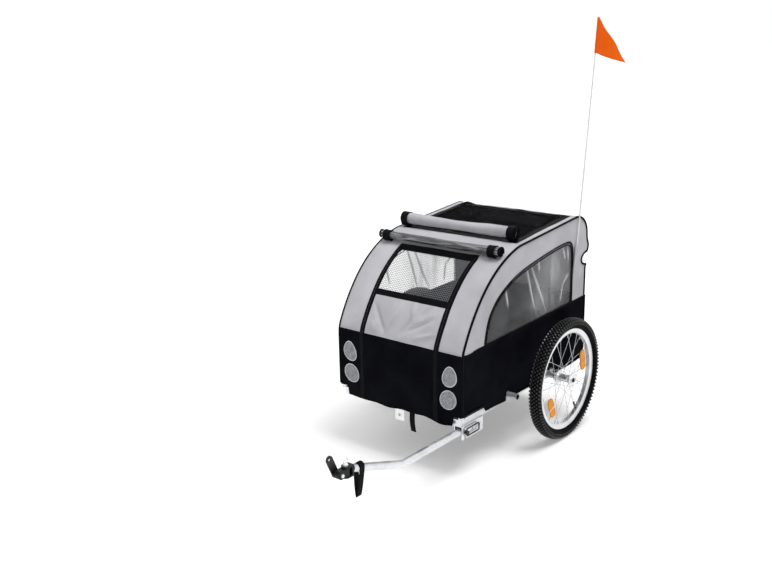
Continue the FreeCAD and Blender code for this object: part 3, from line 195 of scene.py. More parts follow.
def new_mesh(name, points, faces):
    """A mesh of points and of faces between them."""
    mesh = bpy.data.meshes.new(name)
    mesh.from_pydata(points, [], faces)
    return mesh


# Camera, light and floor


def set_camera():
    """The photograph's view, found from the wheel, the cover's corners and the bar."""
    azimuth, elevation, roll = math.radians(129.94), math.radians(15.70), math.radians(-1.09)
    focal_pixels, image_pixels, sensor = 945.8, 772, 36
    level = math.cos(elevation)
    back = Vector((math.sin(azimuth) * level, -math.cos(azimuth) * level, math.sin(elevation)))
    right = Vector((0, 0, 1)).cross(back).normalized()
    up = back.cross(right)
    across = right * math.cos(roll) + up * math.sin(roll)
    upright = up * math.cos(roll) - right * math.sin(roll)
    data = bpy.data.cameras.new("photo_view")
    data.sensor_width = sensor
    data.lens = focal_pixels / image_pixels * sensor
    data.clip_end = 200
    stand = at(3230, 2152, 1656)
    turned = Matrix((across, upright, back)).transposed().to_4x4()
    camera = new_object("photo_view", data)
    camera.matrix_world = Matrix.Translation(stand) @ turned
    bpy.context.scene.camera = camera


def srgb(code):
    """An sRGB hex colour as linear light."""
    parts = [int(code[i : i + 2], 16) / 255 for i in (1, 3, 5)]
    return [p / 12.92 if p <= 0.04045 else ((p + 0.055) / 1.055) ** 2.4 for p in parts] + [1.0]


def add(tree, kind, sockets=None, **settings):
    """One node with its settings, its sockets set to a value or linked from (node, output)."""
    node = tree.nodes.new(kind)
    for name, value in settings.items():
        setattr(node, name, value)
    for name, value in (sockets or {}).items():
        if isinstance(value, tuple) and isinstance(value[0], bpy.types.Node):
            tree.links.new(value[0].outputs[value[1]], node.inputs[name])
        else:
            node.inputs[name].default_value = value
    return node


def straight_rays(tree):
    """1 for a ray from the camera, off a shiny surface or through a clear one, and 0 for other light."""
    rays = add(tree, "ShaderNodeLightPath")
    direct = {0: (rays, "Is Camera Ray"), 1: (rays, "Is Glossy Ray")}
    seen = add(tree, "ShaderNodeMath", direct, operation="MAXIMUM")
    through = {0: (seen, 0), 1: (rays, "Is Transmission Ray")}
    return add(tree, "ShaderNodeMath", through, operation="MAXIMUM")


def light_studio():
    """A pale floor, an even pale surround and two broad soft lamps."""
    scene = bpy.context.scene
    scene.view_settings.view_transform = "Standard"
    world = bpy.data.worlds.new("pale_studio")
    scene.world = world
    world.use_nodes = True
    tree = world.node_tree
    tree.nodes.clear()
    seen = straight_rays(tree)
    soft = add(tree, "ShaderNodeBackground", {"Color": srgb("#FAFAFA"), "Strength": 0.40})
    white = add(tree, "ShaderNodeBackground", {"Color": srgb("#FFFFFF"), "Strength": 1.0})
    mix = add(tree, "ShaderNodeMixShader", {0: (seen, 0), 1: (soft, 0), 2: (white, 0)})
    add(tree, "ShaderNodeOutputWorld", {"Surface": (mix, 0)})
    # Each lamp's strength, and its spread, tilt and turn in degrees.
    for name, strength, spread_out, tilt, turn in (
        ("key_lamp", 1.75, 28, 18, 190),
        ("fill_lamp", 0.60, 70, 24, 30),
    ):
        data = bpy.data.lights.new(name, "SUN")
        data.energy = strength
        data.angle = math.radians(spread_out)
        new_object(name, data).rotation_euler = (math.radians(tilt), 0, math.radians(turn))

    mat = bpy.data.materials.new("painted_studio_floor")
    mat.use_nodes = True
    tree = mat.node_tree
    tree.nodes.clear()
    lift = add(tree, "ShaderNodeMath", {0: (straight_rays(tree), 0), 1: 0.25}, operation="MULTIPLY")
    glow = add(tree, "ShaderNodeEmission", {"Strength": (lift, 0)})
    paint = add(tree, "ShaderNodeBsdfDiffuse", {"Color": srgb("#F4F4F4")})
    both = add(tree, "ShaderNodeAddShader", {0: (paint, 0), 1: (glow, 0)})
    add(tree, "ShaderNodeOutputMaterial", {"Surface": (both, 0)})
    # A disc in metres, half a millimetre under the tyres.
    radius, sides, depth = 60, 48, 0.0005
    turns = steps(0, 2 * math.pi, sides)[:-1]
    ring = [Vector((radius * math.cos(a), radius * math.sin(a), -depth)) for a in turns]
    mesh = new_mesh("studio_floor", ring, [list(range(sides))])
    mesh.materials.append(mat)
    new_object("studio_floor", mesh)


# Finishes


def new_finish(name, colour, roughness, **plain):
    """A material whose plain values sit on the shader's own sockets."""
    mat = bpy.data.materials.new(name)
    mat.use_nodes = True
    tree = mat.node_tree
    shader = tree.nodes["Principled BSDF"]
    shader.inputs["Base Color"].default_value = srgb(colour)
    shader.inputs["Roughness"].default_value = roughness
    for socket, value in plain.items():
        shader.inputs[socket.replace("_", " ")].default_value = value
    return mat, tree, shader


def shade(tree, shader, factor, dark, light):
    """The base colour between two hex colours."""
    mix = add(tree, "ShaderNodeMix", {0: factor, 6: srgb(dark), 7: srgb(light)}, data_type="RGBA")
    tree.links.new(mix.outputs[2], shader.inputs["Base Color"])


def relief(tree, shader, heights):
    """Bumps laid over each other: (height, millimetres)."""
    last = None
    for height, depth in heights:
        sockets = {"Height": height, "Strength": 1.0, "Distance": depth / 1000}
        if last:
            sockets["Normal"] = (last, 0)
        last = add(tree, "ShaderNodeBump", sockets)
    tree.links.new(last.outputs[0], shader.inputs["Normal"])


def per_mm(size):
    """The scale of a noise whose features are this many millimetres across, in metres of the piece."""
    return 1000 / size


def bands_per_mm(period):
    """The scale of a wave texture that repeats over this many millimetres."""
    return math.pi / 10 * 1000 / period


def woven(name, dark, light, thread, depth, roughness, crinkle, **plain):
    """Woven cloth on the piece's own cloth map: threads crossing, soft crinkles, uneven dye."""
    mat, tree, shader = new_finish(name, light, roughness, **plain)
    cloth_map = (add(tree, "ShaderNodeUVMap", uv_map="cloth"), 0)
    place = (add(tree, "ShaderNodeTexCoord"), "Object")
    threads = {"Vector": cloth_map, "Scale": bands_per_mm(thread)}
    warp = add(tree, "ShaderNodeTexWave", threads, bands_direction="X")
    weft = add(tree, "ShaderNodeTexWave", threads, bands_direction="Y")
    weave = add(tree, "ShaderNodeMath", {0: (warp, 1), 1: (weft, 1)}, operation="MULTIPLY")
    fold = add(tree, "ShaderNodeTexNoise", {"Vector": place, "Scale": per_mm(55), "Detail": 3.0})
    dye = add(tree, "ShaderNodeTexNoise", {"Vector": place, "Scale": per_mm(130), "Detail": 4.0})
    faded = add(tree, "ShaderNodeMath", {0: (weave, 0), 1: 0.25, 2: (dye, 0)}, operation="MULTIPLY_ADD")
    tone = add(tree, "ShaderNodeMapRange", {0: (faded, 0), 1: 0.3, 2: 0.85})
    shade(tree, shader, (tone, 0), dark, light)
    relief(tree, shader, [((fold, 0), crinkle), ((weave, 0), depth)])
    return mat


def webbing(name, dark, light, rib, roughness):
    """Narrow woven tape: ribs across its length, crossed by a wider twill."""
    mat, tree, shader = new_finish(name, light, roughness, Specular_IOR_Level=0.04)
    cloth_map = (add(tree, "ShaderNodeUVMap", uv_map="cloth"), 0)
    across = {"Vector": cloth_map, "Scale": bands_per_mm(rib)}
    ribs = add(tree, "ShaderNodeTexWave", across, bands_direction="X")
    slanting = {"Vector": cloth_map, "Scale": bands_per_mm(rib * 1.6)}
    twill = add(tree, "ShaderNodeTexWave", slanting, bands_direction="DIAGONAL")
    both = add(tree, "ShaderNodeMath", {0: (ribs, 1), 1: (twill, 1)}, operation="ADD")
    tone = add(tree, "ShaderNodeMapRange", {0: (both, 0), 1: 0.2, 2: 1.8})
    shade(tree, shader, (tone, 0), dark, light)
    relief(tree, shader, [((both, 0), 0.35)])
    return mat


def netting(name, colour, cell, thread):
    """Warp-knitted net: threads round open holes, which let light and sight through."""
    mat, tree, shader = new_finish(name, colour, 0.65, Specular_IOR_Level=0.0)
    cloth_map = (add(tree, "ShaderNodeUVMap", uv_map="cloth"), 0)
    threads = []
    for way in ("X", "Y"):
        cells = {"Vector": cloth_map, "Scale": bands_per_mm(cell)}
        wave = add(tree, "ShaderNodeTexWave", cells, bands_direction=way)
        threads.append(add(tree, "ShaderNodeMath", {0: (wave, 1), 1: 1 - thread}, operation="GREATER_THAN"))
    solid = add(tree, "ShaderNodeMath", {0: (threads[0], 0), 1: (threads[1], 0)}, operation="MAXIMUM")
    tree.links.new(solid.outputs[0], shader.inputs["Alpha"])
    relief(tree, shader, [((solid, 0), 0.3)])
    return mat


def plated_metal(name, dark, light, roughness, grain, along):
    """Metal with a drawn or turned finish: fine lines along it, cloudy patches and faint scuffs."""
    mat, tree, shader = new_finish(name, light, roughness, Metallic=1.0)
    place = (add(tree, "ShaderNodeTexCoord"), "Object")
    drawn = (add(tree, "ShaderNodeMapping", {"Vector": place, "Scale": along}), 0)
    lines = add(tree, "ShaderNodeTexNoise", {"Vector": drawn, "Scale": per_mm(grain), "Detail": 3.0})
    cloud = add(tree, "ShaderNodeTexNoise", {"Vector": place, "Scale": per_mm(60), "Detail": 5.0})
    both = add(tree, "ShaderNodeMath", {0: (lines, 0), 1: (cloud, 0)}, operation="MULTIPLY")
    tone = add(tree, "ShaderNodeMapRange", {0: (both, 0), 1: 0.12, 2: 0.4})
    shade(tree, shader, (tone, 0), dark, light)
    scuffs = {0: (cloud, 0), 1: 0.3, 2: 0.7, 3: roughness - 0.07, 4: roughness + 0.1}
    rough = add(tree, "ShaderNodeMapRange", scuffs)
    tree.links.new(rough.outputs[0], shader.inputs["Roughness"])
    relief(tree, shader, [((lines, 0), 0.02)])
    return mat


def moulded(name, dark, light, roughness, grain, depth, **plain):
    """Moulded or coated surface: fine grain, with lighter scuffs in patches."""
    mat, tree, shader = new_finish(name, light, roughness, **plain)
    place = (add(tree, "ShaderNodeTexCoord"), "Object")
    fine = add(tree, "ShaderNodeTexNoise", {"Vector": place, "Scale": per_mm(grain), "Detail": 3.0})
    cloud = add(tree, "ShaderNodeTexNoise", {"Vector": place, "Scale": per_mm(45), "Detail": 6.0})
    tone = add(tree, "ShaderNodeMapRange", {0: (cloud, 0), 1: 0.35, 2: 0.7})
    shade(tree, shader, (tone, 0), dark, light)
    scuffs = {0: (cloud, 0), 1: 0.3, 2: 0.7, 3: roughness + 0.08, 4: roughness - 0.05}
    rough = add(tree, "ShaderNodeMapRange", scuffs)
    tree.links.new(rough.outputs[0], shader.inputs["Roughness"])
    relief(tree, shader, [((fine, 0), depth)])
    return mat


def clear_vinyl():
    """PVC window film: clear and glossy, with a broad zone of painted light on it, and whitened along its
    sharper folds, partly as stress-whitening and partly as painted highlight.
    """
    mat, tree, shader = new_finish("pvc_window_film", "#DADBDE", 0.1, Specular_IOR_Level=0.8)
    place = (add(tree, "ShaderNodeTexCoord"), "Object")
    tall = (add(tree, "ShaderNodeMapping", {"Vector": place, "Scale": (1.0, 0.4, 0.1)}), 0)
    streak = add(tree, "ShaderNodeTexNoise", {"Vector": tall, "Scale": per_mm(34), "Detail": 3.0})
    cloud = add(tree, "ShaderNodeTexNoise", {"Vector": place, "Scale": per_mm(190), "Detail": 3.0})
    # The film is whitened along its folds, partly stress-whitening and partly painted highlight, and over a
    # broad zone of painted light.
    fold = (add(tree, "ShaderNodeAttribute", attribute_name="fold"), "Fac")
    gleam = (add(tree, "ShaderNodeAttribute", attribute_name="gleam"), "Fac")
    haze = add(tree, "ShaderNodeMapRange", {0: (streak, 0), 1: 0.38, 2: 0.68, 3: 0.10, 4: 0.28})
    veil = add(tree, "ShaderNodeMapRange", {0: (cloud, 0), 1: 0.35, 2: 0.7, 3: 0.03, 4: 0.08})
    both = add(tree, "ShaderNodeMath", {0: gleam, 1: (haze, 0), 2: (veil, 0)}, operation="MULTIPLY_ADD")
    whole = add(tree, "ShaderNodeMath", {0: fold, 1: 0.6, 2: (both, 0)}, operation="MULTIPLY_ADD")
    tree.links.new(whole.outputs[0], shader.inputs["Alpha"])
    relief(tree, shader, [((streak, 0), 1.0)])
    return mat


def rolled_vinyl():
    """The same film in many layers: smoky, glossy, with bright streaks along the roll."""
    gloss = {"Specular_IOR_Level": 0.7, "Coat_Weight": 0.3}
    mat, tree, shader = new_finish("pvc_film_in_layers", "#4A4B4F", 0.12, **gloss)
    place = (add(tree, "ShaderNodeTexCoord"), "Object")
    long = (add(tree, "ShaderNodeMapping", {"Vector": place, "Scale": (1.0, 0.06, 1.0)}), 0)
    creased = {"Vector": long, "Scale": per_mm(9), "Detail": 4.0, "Distortion": 0.8}
    streak = add(tree, "ShaderNodeTexNoise", creased)
    tone = add(tree, "ShaderNodeMapRange", {0: (streak, 0), 1: 0.44, 2: 0.64})
    shade(tree, shader, (tone, 0), "#141517", "#8E9095")
    clear = add(tree, "ShaderNodeMapRange", {0: (streak, 0), 1: 0.3, 2: 0.6, 3: 0.8, 4: 0.96})
    tree.links.new(clear.outputs[0], shader.inputs["Alpha"])
    relief(tree, shader, [((streak, 0), 1.6)])
    return mat


def reflective_tape():
    """Retroreflective sheeting: silver-grey, with welded cells of about 9 mm."""
    gloss = {"Metallic": 0.1, "Specular_IOR_Level": 0.2}
    mat, tree, shader = new_finish("retroreflective_sheeting", "#85868B", 0.45, **gloss)
    place = (add(tree, "ShaderNodeTexCoord"), "Object")
    welds = {"Vector": place, "Scale": per_mm(9)}
    cells = add(tree, "ShaderNodeTexVoronoi", welds, feature="DISTANCE_TO_EDGE")
    fine = add(tree, "ShaderNodeTexNoise", {"Vector": place, "Scale": per_mm(14), "Detail": 3.0})
    edge = add(tree, "ShaderNodeMapRange", {0: (cells, 0), 1: 0.0, 2: 0.12, 3: 1.0, 4: 0.0})
    tone = add(tree, "ShaderNodeMath", {0: (edge, 0), 1: 0.6, 2: (fine, 0)}, operation="MULTIPLY_ADD")
    shade(tree, shader, (tone, 0), "#54555A", "#A9AAAF")
    relief(tree, shader, [((edge, 0), 0.3), ((fine, 0), 0.2)])
    return mat


def amber_acrylic():
    """Moulded amber acrylic over corner-cube prisms of about 5 mm, glossy in front."""
    gloss = {"Specular_IOR_Level": 0.12, "Coat_Weight": 0.12, "Coat_Roughness": 0.08}
    mat, tree, shader = new_finish("amber_acrylic", "#FF9A14", 0.25, **gloss)
    place = (add(tree, "ShaderNodeTexCoord"), "Object")
    cubes = {"Vector": place, "Scale": per_mm(5)}
    prisms = add(tree, "ShaderNodeTexVoronoi", cubes, distance="MANHATTAN")
    tone = add(tree, "ShaderNodeMapRange", {0: (prisms, 0), 1: 0.1, 2: 0.7})
    shade(tree, shader, (tone, 0), "#FFBE45", "#FF9D0E")
    relief(tree, shader, [((prisms, 0), 0.8)])
    return mat


# Cloth: dark and light colour, thread in mm, its relief in mm, roughness, depth of the crinkles in mm.
# Tape: dark and light colour, rib in mm, roughness. Netting: colour, cell in mm, share of thread.
# Metal: dark and light colour, roughness, width of the drawn lines in mm, stretch along x, y and z.
# Mouldings: dark and light colour, roughness, grain in mm, its relief in mm.
FINISH = {
    # Light grey polyester with a coated back: matt plain weave, drawn at 1.6 mm so that it shows.
    "grey": woven(
        "coated_polyester_grey", "#B4B3B8", "#CECDD2", 1.6, 0.12, 0.66, 1.8, Specular_IOR_Level=0.16
    ),
    # The same cloth in black: nearly no colour of its own, and no gloss.
    "black": woven(
        "coated_polyester_black", "#0D0D11", "#1B1C21", 1.6, 0.14, 0.6, 1.6, Specular_IOR_Level=0.0
    ),
    # Folded black tape sewn over raw edges: ribbed, blacker than the cloth.
    "binding": webbing("polyester_binding_black", "#030304", "#0B0C0F", 1.8, 0.5),
    # Flat black webbing for loops and straps: ribs across, about 2 mm apart.
    "webbing": webbing("nylon_webbing_black", "#040506", "#101115", 2.2, 0.52),
    # Roof netting: black, close, so that it reads as a dark veil. Cells drawn at 3 mm.
    "roof_net": netting("knitted_netting_close", "#1B1B1D", 3.0, 0.46),
    # Door netting: finer threads, easy to see through. Cells drawn at 8 mm, so that they show.
    "door_net": netting("knitted_netting_open", "#8A8B90", 8.0, 0.07),
    "vinyl": clear_vinyl(),
    "rolled_vinyl": rolled_vinyl(),
    "tape": reflective_tape(),
    # White sewn edge of the reflective patches.
    "tape_edge": moulded("reflective_edge_tape", "#D2D3D6", "#EBECEE", 0.45, 1.2, 0.05),
    # Thin orange nylon: bright, a soft sheen, fine weave drawn at 1.2 mm.
    "flag": woven(
        "rip_nylon_orange", "#EE5C04", "#FF6E0A", 1.2, 0.08, 0.6, 0.5, Specular_IOR_Level=0.07
    ),
    "amber": amber_acrylic(),
    # Zinc-plated and clear-coated steel tube: satin, bright, drawn lines along the length.
    "steel": plated_metal("zinc_plated_steel", "#CDCFD2", "#EDEEF0", 0.42, 1.5, (0.15, 1.0, 1.0)),
    # Extruded aluminium, satin anodised: pale and even.
    "alloy": plated_metal("anodised_aluminium", "#CFD1D3", "#EBECEE", 0.36, 2.0, (1.0, 0.3, 1.0)),
    # Drawn stainless wire.
    "wire": plated_metal("stainless_wire", "#A9ABAE", "#CFD1D3", 0.24, 1.0, (1.0, 1.0, 1.0)),
    # Vulcanised rubber: dull black, darkened further as painted shade in the hollows of the tyre.
    "shaded_rubber": moulded(
        "rubber_in_painted_shade", "#020203", "#060607", 0.66, 1.6, 0.12, Specular_IOR_Level=0.06
    ),
    # The same rubber on the blocks: paler, as painted light on the block tops, and smoother where they meet
    # the road.
    "tread": moulded(
        "rubber_with_painted_light", "#0B0C0E", "#1E1F22", 0.32, 1.6, 0.1, Specular_IOR_Level=0.65
    ),
    # Glass-filled nylon mouldings: near black, fine spark-eroded grain.
    "nylon": moulded(
        "glass_filled_nylon", "#060708", "#121316", 0.46, 0.9, 0.06, Specular_IOR_Level=0.25
    ),
    # Powder-coated steel: black, slight orange peel of about 2 mm.
    "coated": moulded(
        "powder_coated_steel", "#0C0D0F", "#16171A", 0.38, 2.2, 0.08, Specular_IOR_Level=0.35
    ),
    # Pultruded glass-fibre rod with a white gel coat.
    "rod": moulded("glass_fibre_rod_white", "#E6E6E3", "#F6F6F4", 0.3, 2.5, 0.03, Coat_Weight=0.3),
    # Extruded polypropylene board: dark grey, pebbled.
    "board": moulded("polypropylene_board", "#2A2B2E", "#3A3B3F", 0.6, 3.0, 0.15),
    # Sewing thread.
    "thread": moulded(
        "polyester_thread_black", "#0A0B0D", "#1A1B1F", 0.55, 0.8, 0.02, Specular_IOR_Level=0.2
    ),
    "grey_thread": moulded("polyester_thread_grey", "#85868C", "#A7A8AE", 0.55, 0.8, 0.02),
}


# Making pieces


def new_piece(name, mesh, finishes, body, nodes=()):
    """A finished object at the origin that rides on a body."""
    for finish in finishes:
        mesh.materials.append(FINISH[finish])
    piece = new_object(name, mesh)
    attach(piece, body)
    if nodes:
        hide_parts(*nodes)
    return piece


def close_mesh(mesh, merge=1e-6, even=True):
    """Merge doubles, then turn every face outwards, with even shading unless the faces have their own."""
    work = bmesh.new()
    work.from_mesh(mesh)
    bmesh.ops.remove_doubles(work, verts=work.verts, dist=merge)
    bmesh.ops.dissolve_degenerate(work, edges=work.edges, dist=merge)
    loose = [v for v in work.verts if not v.link_faces]
    bmesh.ops.delete(work, geom=loose, context="VERTS")
    bmesh.ops.recalc_face_normals(work, faces=work.faces)
    work.to_mesh(mesh)
    work.free()
    if even:
        for face in mesh.polygons:
            face.use_smooth = True
    mesh.update()


def map_cloth(mesh, maps):
    """The mesh's own map of its cloth, from the places of each face's corners in metres of cloth."""
    layer = mesh.uv_layers.new(name="cloth")
    for face, corners in zip(mesh.polygons, maps):
        for loop, uv in zip(face.loop_indices, corners):
            layer.data[loop].uv = uv


def ring_faces(base, rings, sides, closed=False):
    """Faces between rings of points that follow each other, counted from a first point."""
    faces = []
    for r in range(rings if closed else rings - 1):
        low, high = base + r * sides, base + (r + 1) % rings * sides
        for k in range(sides):
            m = (k + 1) % sides
            faces.append([low + k, low + m, high + m, high + k])
    return faces


def cloth_mesh(name, rows, cols, place, thick, which=None, flip=False, ring=False, opening=None):
    """A sheet over a grid of (row, column) values, thickened to one side, with a map of its cloth."""
    grid = [[place(a, b) for b in cols] for a in rows]
    high, wide = len(rows), len(cols)
    near, far = [], []
    for i in range(high):
        for j in range(wide):
            down = grid[min(i + 1, high - 1)][j] - grid[max(i - 1, 0)][j]
            if ring:
                across = grid[i][(j + 1) % (wide - 1)] - grid[i][(j - 1) % (wide - 1)]
            else:
                across = grid[i][min(j + 1, wide - 1)] - grid[i][max(j - 1, 0)]
            way = down.cross(across)
            if way.length < 1e-12:
                way = Vector((0, 0, 1))
            way.normalize()
            near.append(grid[i][j])
            far.append(grid[i][j] + way * (thick / 1000 * (1 if flip else -1)))
    faces, tags, maps, edges = [], [], [], {}

    def quad(corners, layers, tag):
        faces.append([layer * len(near) + r * wide + c for (r, c), layer in zip(corners, layers)])
        maps.append([(rows[r] / 1000, cols[c] / 1000) for r, c in corners])
        tags.append(tag)

    for i in range(high - 1):
        for j in range(wide - 1):
            middle = ((rows[i] + rows[i + 1]) / 2, (cols[j] + cols[j + 1]) / 2)
            if opening and opening(*middle):
                continue
            tag = which(*middle) if which else 0
            corners = [(i, j), (i, j + 1), (i + 1, j + 1), (i + 1, j)]
            quad(corners, (0, 0, 0, 0), tag)
            quad(corners[::-1], (1, 1, 1, 1), tag)
            for p, q in zip(corners, corners[1:] + corners[:1]):
                edges.setdefault(frozenset((p, q)), []).append((p, q, tag))
    both_sides = len(faces)
    for users in edges.values():
        p, q, tag = users[0]
        seam = ring and p[1] == q[1] and p[1] in (0, wide - 1)
        if len(users) == 1 and not seam:
            quad([q, p, p, q], (0, 0, 1, 1), tag)
    mesh = new_mesh(name, near + far, faces)
    map_cloth(mesh, maps)
    for face, tag in zip(mesh.polygons, tags):
        face.material_index = tag
        face.use_smooth = face.index < both_sides
    close_mesh(mesh, 2e-5, even=False)
    return mesh


def cloth(name, rows, cols, place, finishes, body, slot, nodes=(), thick=1.4, **shape):
    """A piece of cloth over a grid."""
    return new_piece(name, cloth_mesh(name, rows, cols, place, thick, **shape), finishes, body, nodes)


def tube_mesh(name, lines, radius, sides, flat=1.0, closed=False, up=(0, 1, 0)):
    """Round or flattened cord along lines of points, with capped ends and a cloth map."""
    points, faces, maps = [], [], []
    girth = 2 * math.pi * radius / sides / 1000
    for line in lines:
        base, count = len(points), len(line)
        run = 0.0
        runs = []
        for i, p in enumerate(line):
            before = line[i - 1] if i or closed else line[0]
            after = line[(i + 1) % count] if i + 1 < count or closed else line[-1]
            way = (after - before).normalized()
            side = way.cross(Vector(up))
            side = side.normalized() if side.length > 1e-6 else Vector((1, 0, 0))
            lift = side.cross(way).normalized()
            if i:
                run += (p - line[i - 1]).length
            runs.append(run)
            for k in range(sides):
                turn = 2 * math.pi * k / sides
                points.append(p + (side * math.cos(turn) + lift * math.sin(turn) * flat) * (radius / 1000))
        faces += ring_faces(base, count, sides, closed)
        for i in range(count if closed else count - 1):
            next_run = runs[i] + (line[(i + 1) % count] - line[i]).length
            for k in range(sides):
                low, high = k * girth, (k + 1) * girth
                maps.append([(runs[i], low), (runs[i], high), (next_run, high), (next_run, low)])
        if not closed:
            for end in (0, count - 1):
                faces.append([base + end * sides + k for k in range(sides)])
                maps.append([(0, 0)] * sides)
    mesh = new_mesh(name, points, faces)
    map_cloth(mesh, maps)
    close_mesh(mesh)
    return mesh


def piping(name, lines, radius, sides, flat=1.0, body="chassis", nodes=()):
    """Black tape bound round edges or seams, along lines."""
    tube = tube_mesh(name, lines, radius, sides, flat)
    return new_piece(name, tube, ["binding"], body, nodes)


def block_shape(name, length, width, height, bevel, tilt=0.0, taper=0.8):
    """A small bevelled block for a row: length along it, width across, foot at zero, tilted across."""
    work = bmesh.new()
    bmesh.ops.create_cube(work, size=1.0)
    for v in work.verts:
        top = v.co.z > 0
        share = taper if top else 1.0
        v.co = Vector((v.co.x * length * share, v.co.y * width * share, height if top else 0.0)) / 1000
    top_edges = [e for e in work.edges if sum(v.co.z for v in e.verts) > height / 1000 * 0.9]
    bmesh.ops.bevel(work, geom=top_edges, offset=bevel / 1000, segments=1, affect="EDGES")
    bmesh.ops.rotate(work, verts=work.verts, matrix=Matrix.Rotation(math.radians(-tilt), 3, "X"))
    mesh = bpy.data.meshes.new(name)
    work.to_mesh(mesh)
    work.free()
    return new_object(name, mesh)


def row_tree():
    """Nodes that set a shape along lines: its length along the line, its width along a direction."""
    tree = bpy.data.node_groups.new("row_along_line", "GeometryNodeTree")
    face = tree.interface
    face.new_socket("Geometry", in_out="OUTPUT", socket_type="NodeSocketGeometry")
    for name, kind in (
        ("Line", "NodeSocketGeometry"),
        ("Shape", "NodeSocketObject"),
        ("Spacing", "NodeSocketFloat"),
        ("Across", "NodeSocketVector"),
        ("Finish", "NodeSocketMaterial"),
    ):
        face.new_socket(name, in_out="INPUT", socket_type=kind)
    given = add(tree, "NodeGroupInput")
    shape = add(tree, "GeometryNodeObjectInfo", {"Object": (given, "Shape")}, transform_space="ORIGINAL")
    curve = add(tree, "GeometryNodeMeshToCurve", {"Mesh": (given, "Line")})
    spaced = {"Curve": (curve, 0), "Length": (given, "Spacing")}
    points = add(tree, "GeometryNodeCurveToPoints", spaced, mode="LENGTH")
    along = add(tree, "FunctionNodeAlignRotationToVector", {"Vector": (points, "Tangent")}, axis="X")
    level = {"Rotation": (along, 0), "Vector": (given, "Across")}
    turned = add(tree, "FunctionNodeAlignRotationToVector", level, axis="Y", pivot_axis="X")
    placed = {"Points": (points, 0), "Instance": (shape, "Geometry"), "Rotation": (turned, 0)}
    copies = add(tree, "GeometryNodeInstanceOnPoints", placed)
    solid = add(tree, "GeometryNodeRealizeInstances", {"Geometry": (copies, 0)})
    painted = add(tree, "GeometryNodeSetMaterial", {"Geometry": (solid, 0), "Material": (given, "Finish")})
    add(tree, "NodeGroupOutput", {"Geometry": (painted, 0)})
    return tree


ROW = row_tree()


def row(name, line, shape, spacing, finish, across=(0, 1, 0)):
    """A plain mesh of a shape repeated along a line, spacing in millimetres."""
    path = bpy.data.meshes.new(name + "_line")
    path.from_pydata(line, [(i, i + 1) for i in range(len(line) - 1)], [])
    holder = new_object(name + "_line", path)
    modifier = holder.modifiers.new("row", "NODES")
    modifier.node_group = ROW
    ids = {item.name: item.identifier for item in ROW.interface.items_tree if item.in_out == "INPUT"}
    modifier[ids["Shape"]] = shape
    modifier[ids["Spacing"]] = spacing / 1000
    modifier[ids["Across"]] = across
    modifier[ids["Finish"]] = FINISH[finish]
    shown = holder.evaluated_get(bpy.context.evaluated_depsgraph_get())
    mesh = bpy.data.meshes.new_from_object(shown)
    mesh.name = name
    holder.modifiers.remove(modifier)
    bpy.data.objects.remove(holder)
    return mesh


def join_meshes(name, meshes):
    """Several meshes of one finish as one."""
    work = bmesh.new()
    for mesh in meshes:
        work.from_mesh(mesh)
    joined = bpy.data.meshes.new(name)
    work.to_mesh(joined)
    work.free()
    for face in joined.polygons:
        face.material_index = 0
    return joined


# The cover

# Folds of the door's slack cloth: start and end as (y, run), width, depth.
DOOR_FOLDS = [
    ((30, 440), (45, 350), 10, 10),
    ((50, 395), (-5, 290), 9, -9),
    ((-165, 410), (-60, 282), 9, -11),
    ((-20, 425), (-75, 285), 11, 9),
    ((5, 305), (155, 400), 10, -9),
    ((60, 295), (165, 335), 8, 8),
    ((-140, 335), (-120, 285), 12, 8),
    ((110, 432), (70, 375), 12, -7),
]


def sag(run, y, seed, depth):
    """Slack of a panel of the cover: soft waves, large and small, lower at its sides."""
    tight = smooth(0, 60, HALF - abs(y))
    wave = ripple(run, y, 150, 110, depth, seed) + ripple(run, y, 60, 48, depth * 0.4, seed + 3)
    return wave * (0.25 + 0.75 * tight)


def front_out(run, y):
    """How far the front cloth stands out of its outline: even at the hem's patches, slack elsewhere."""
    if abs(y) >= DOOR_HALF:
        edge = smooth(0, 25, min(abs(y) - DOOR_HALF, HALF - abs(y)))
        pull = crease(y, run, (225, 310), (190, 430), 10, -3)
        pull += crease(-y, run, (275, 300), (190, 360), 9, -3.5)
        slack = ripple(run, y, 120, 60, 2.6, 1.3) * smooth(WAIST, WAIST + 60, run)
        return (slack + pull) * edge * smooth(0, 45, HINGE - run)
    edge = smooth(0, 30, DOOR_HALF - abs(y))
    folds = sum(crease(y, run, *fold) for fold in DOOR_FOLDS)
    below_band = 1 - smooth(BAND_LOW - 40, BAND_TOP, run)
    loose = ripple(run, y, 90, 75, 4.5, 5.1) * smooth(5, 60, run) * below_band
    return edge * (folds + loose)


def hem_drop(y):
    """How the front hem hangs below or above its line."""
    corner = smooth(254, 260, abs(y)) * 38
    return corner + 3 * math.sin(y / 47) + 2 * math.sin(y / 19 + 1) - 5 * bump_at(abs(y), 215, 35)


def front_place(run, y):
    """A point of the front cloth, its lower part drawn to the hem."""
    low = hem_drop(y)
    shifted = low + run * (WAIST - low) / WAIST if run < WAIST else run
    return wrap(shifted, y, front_out(run, y))


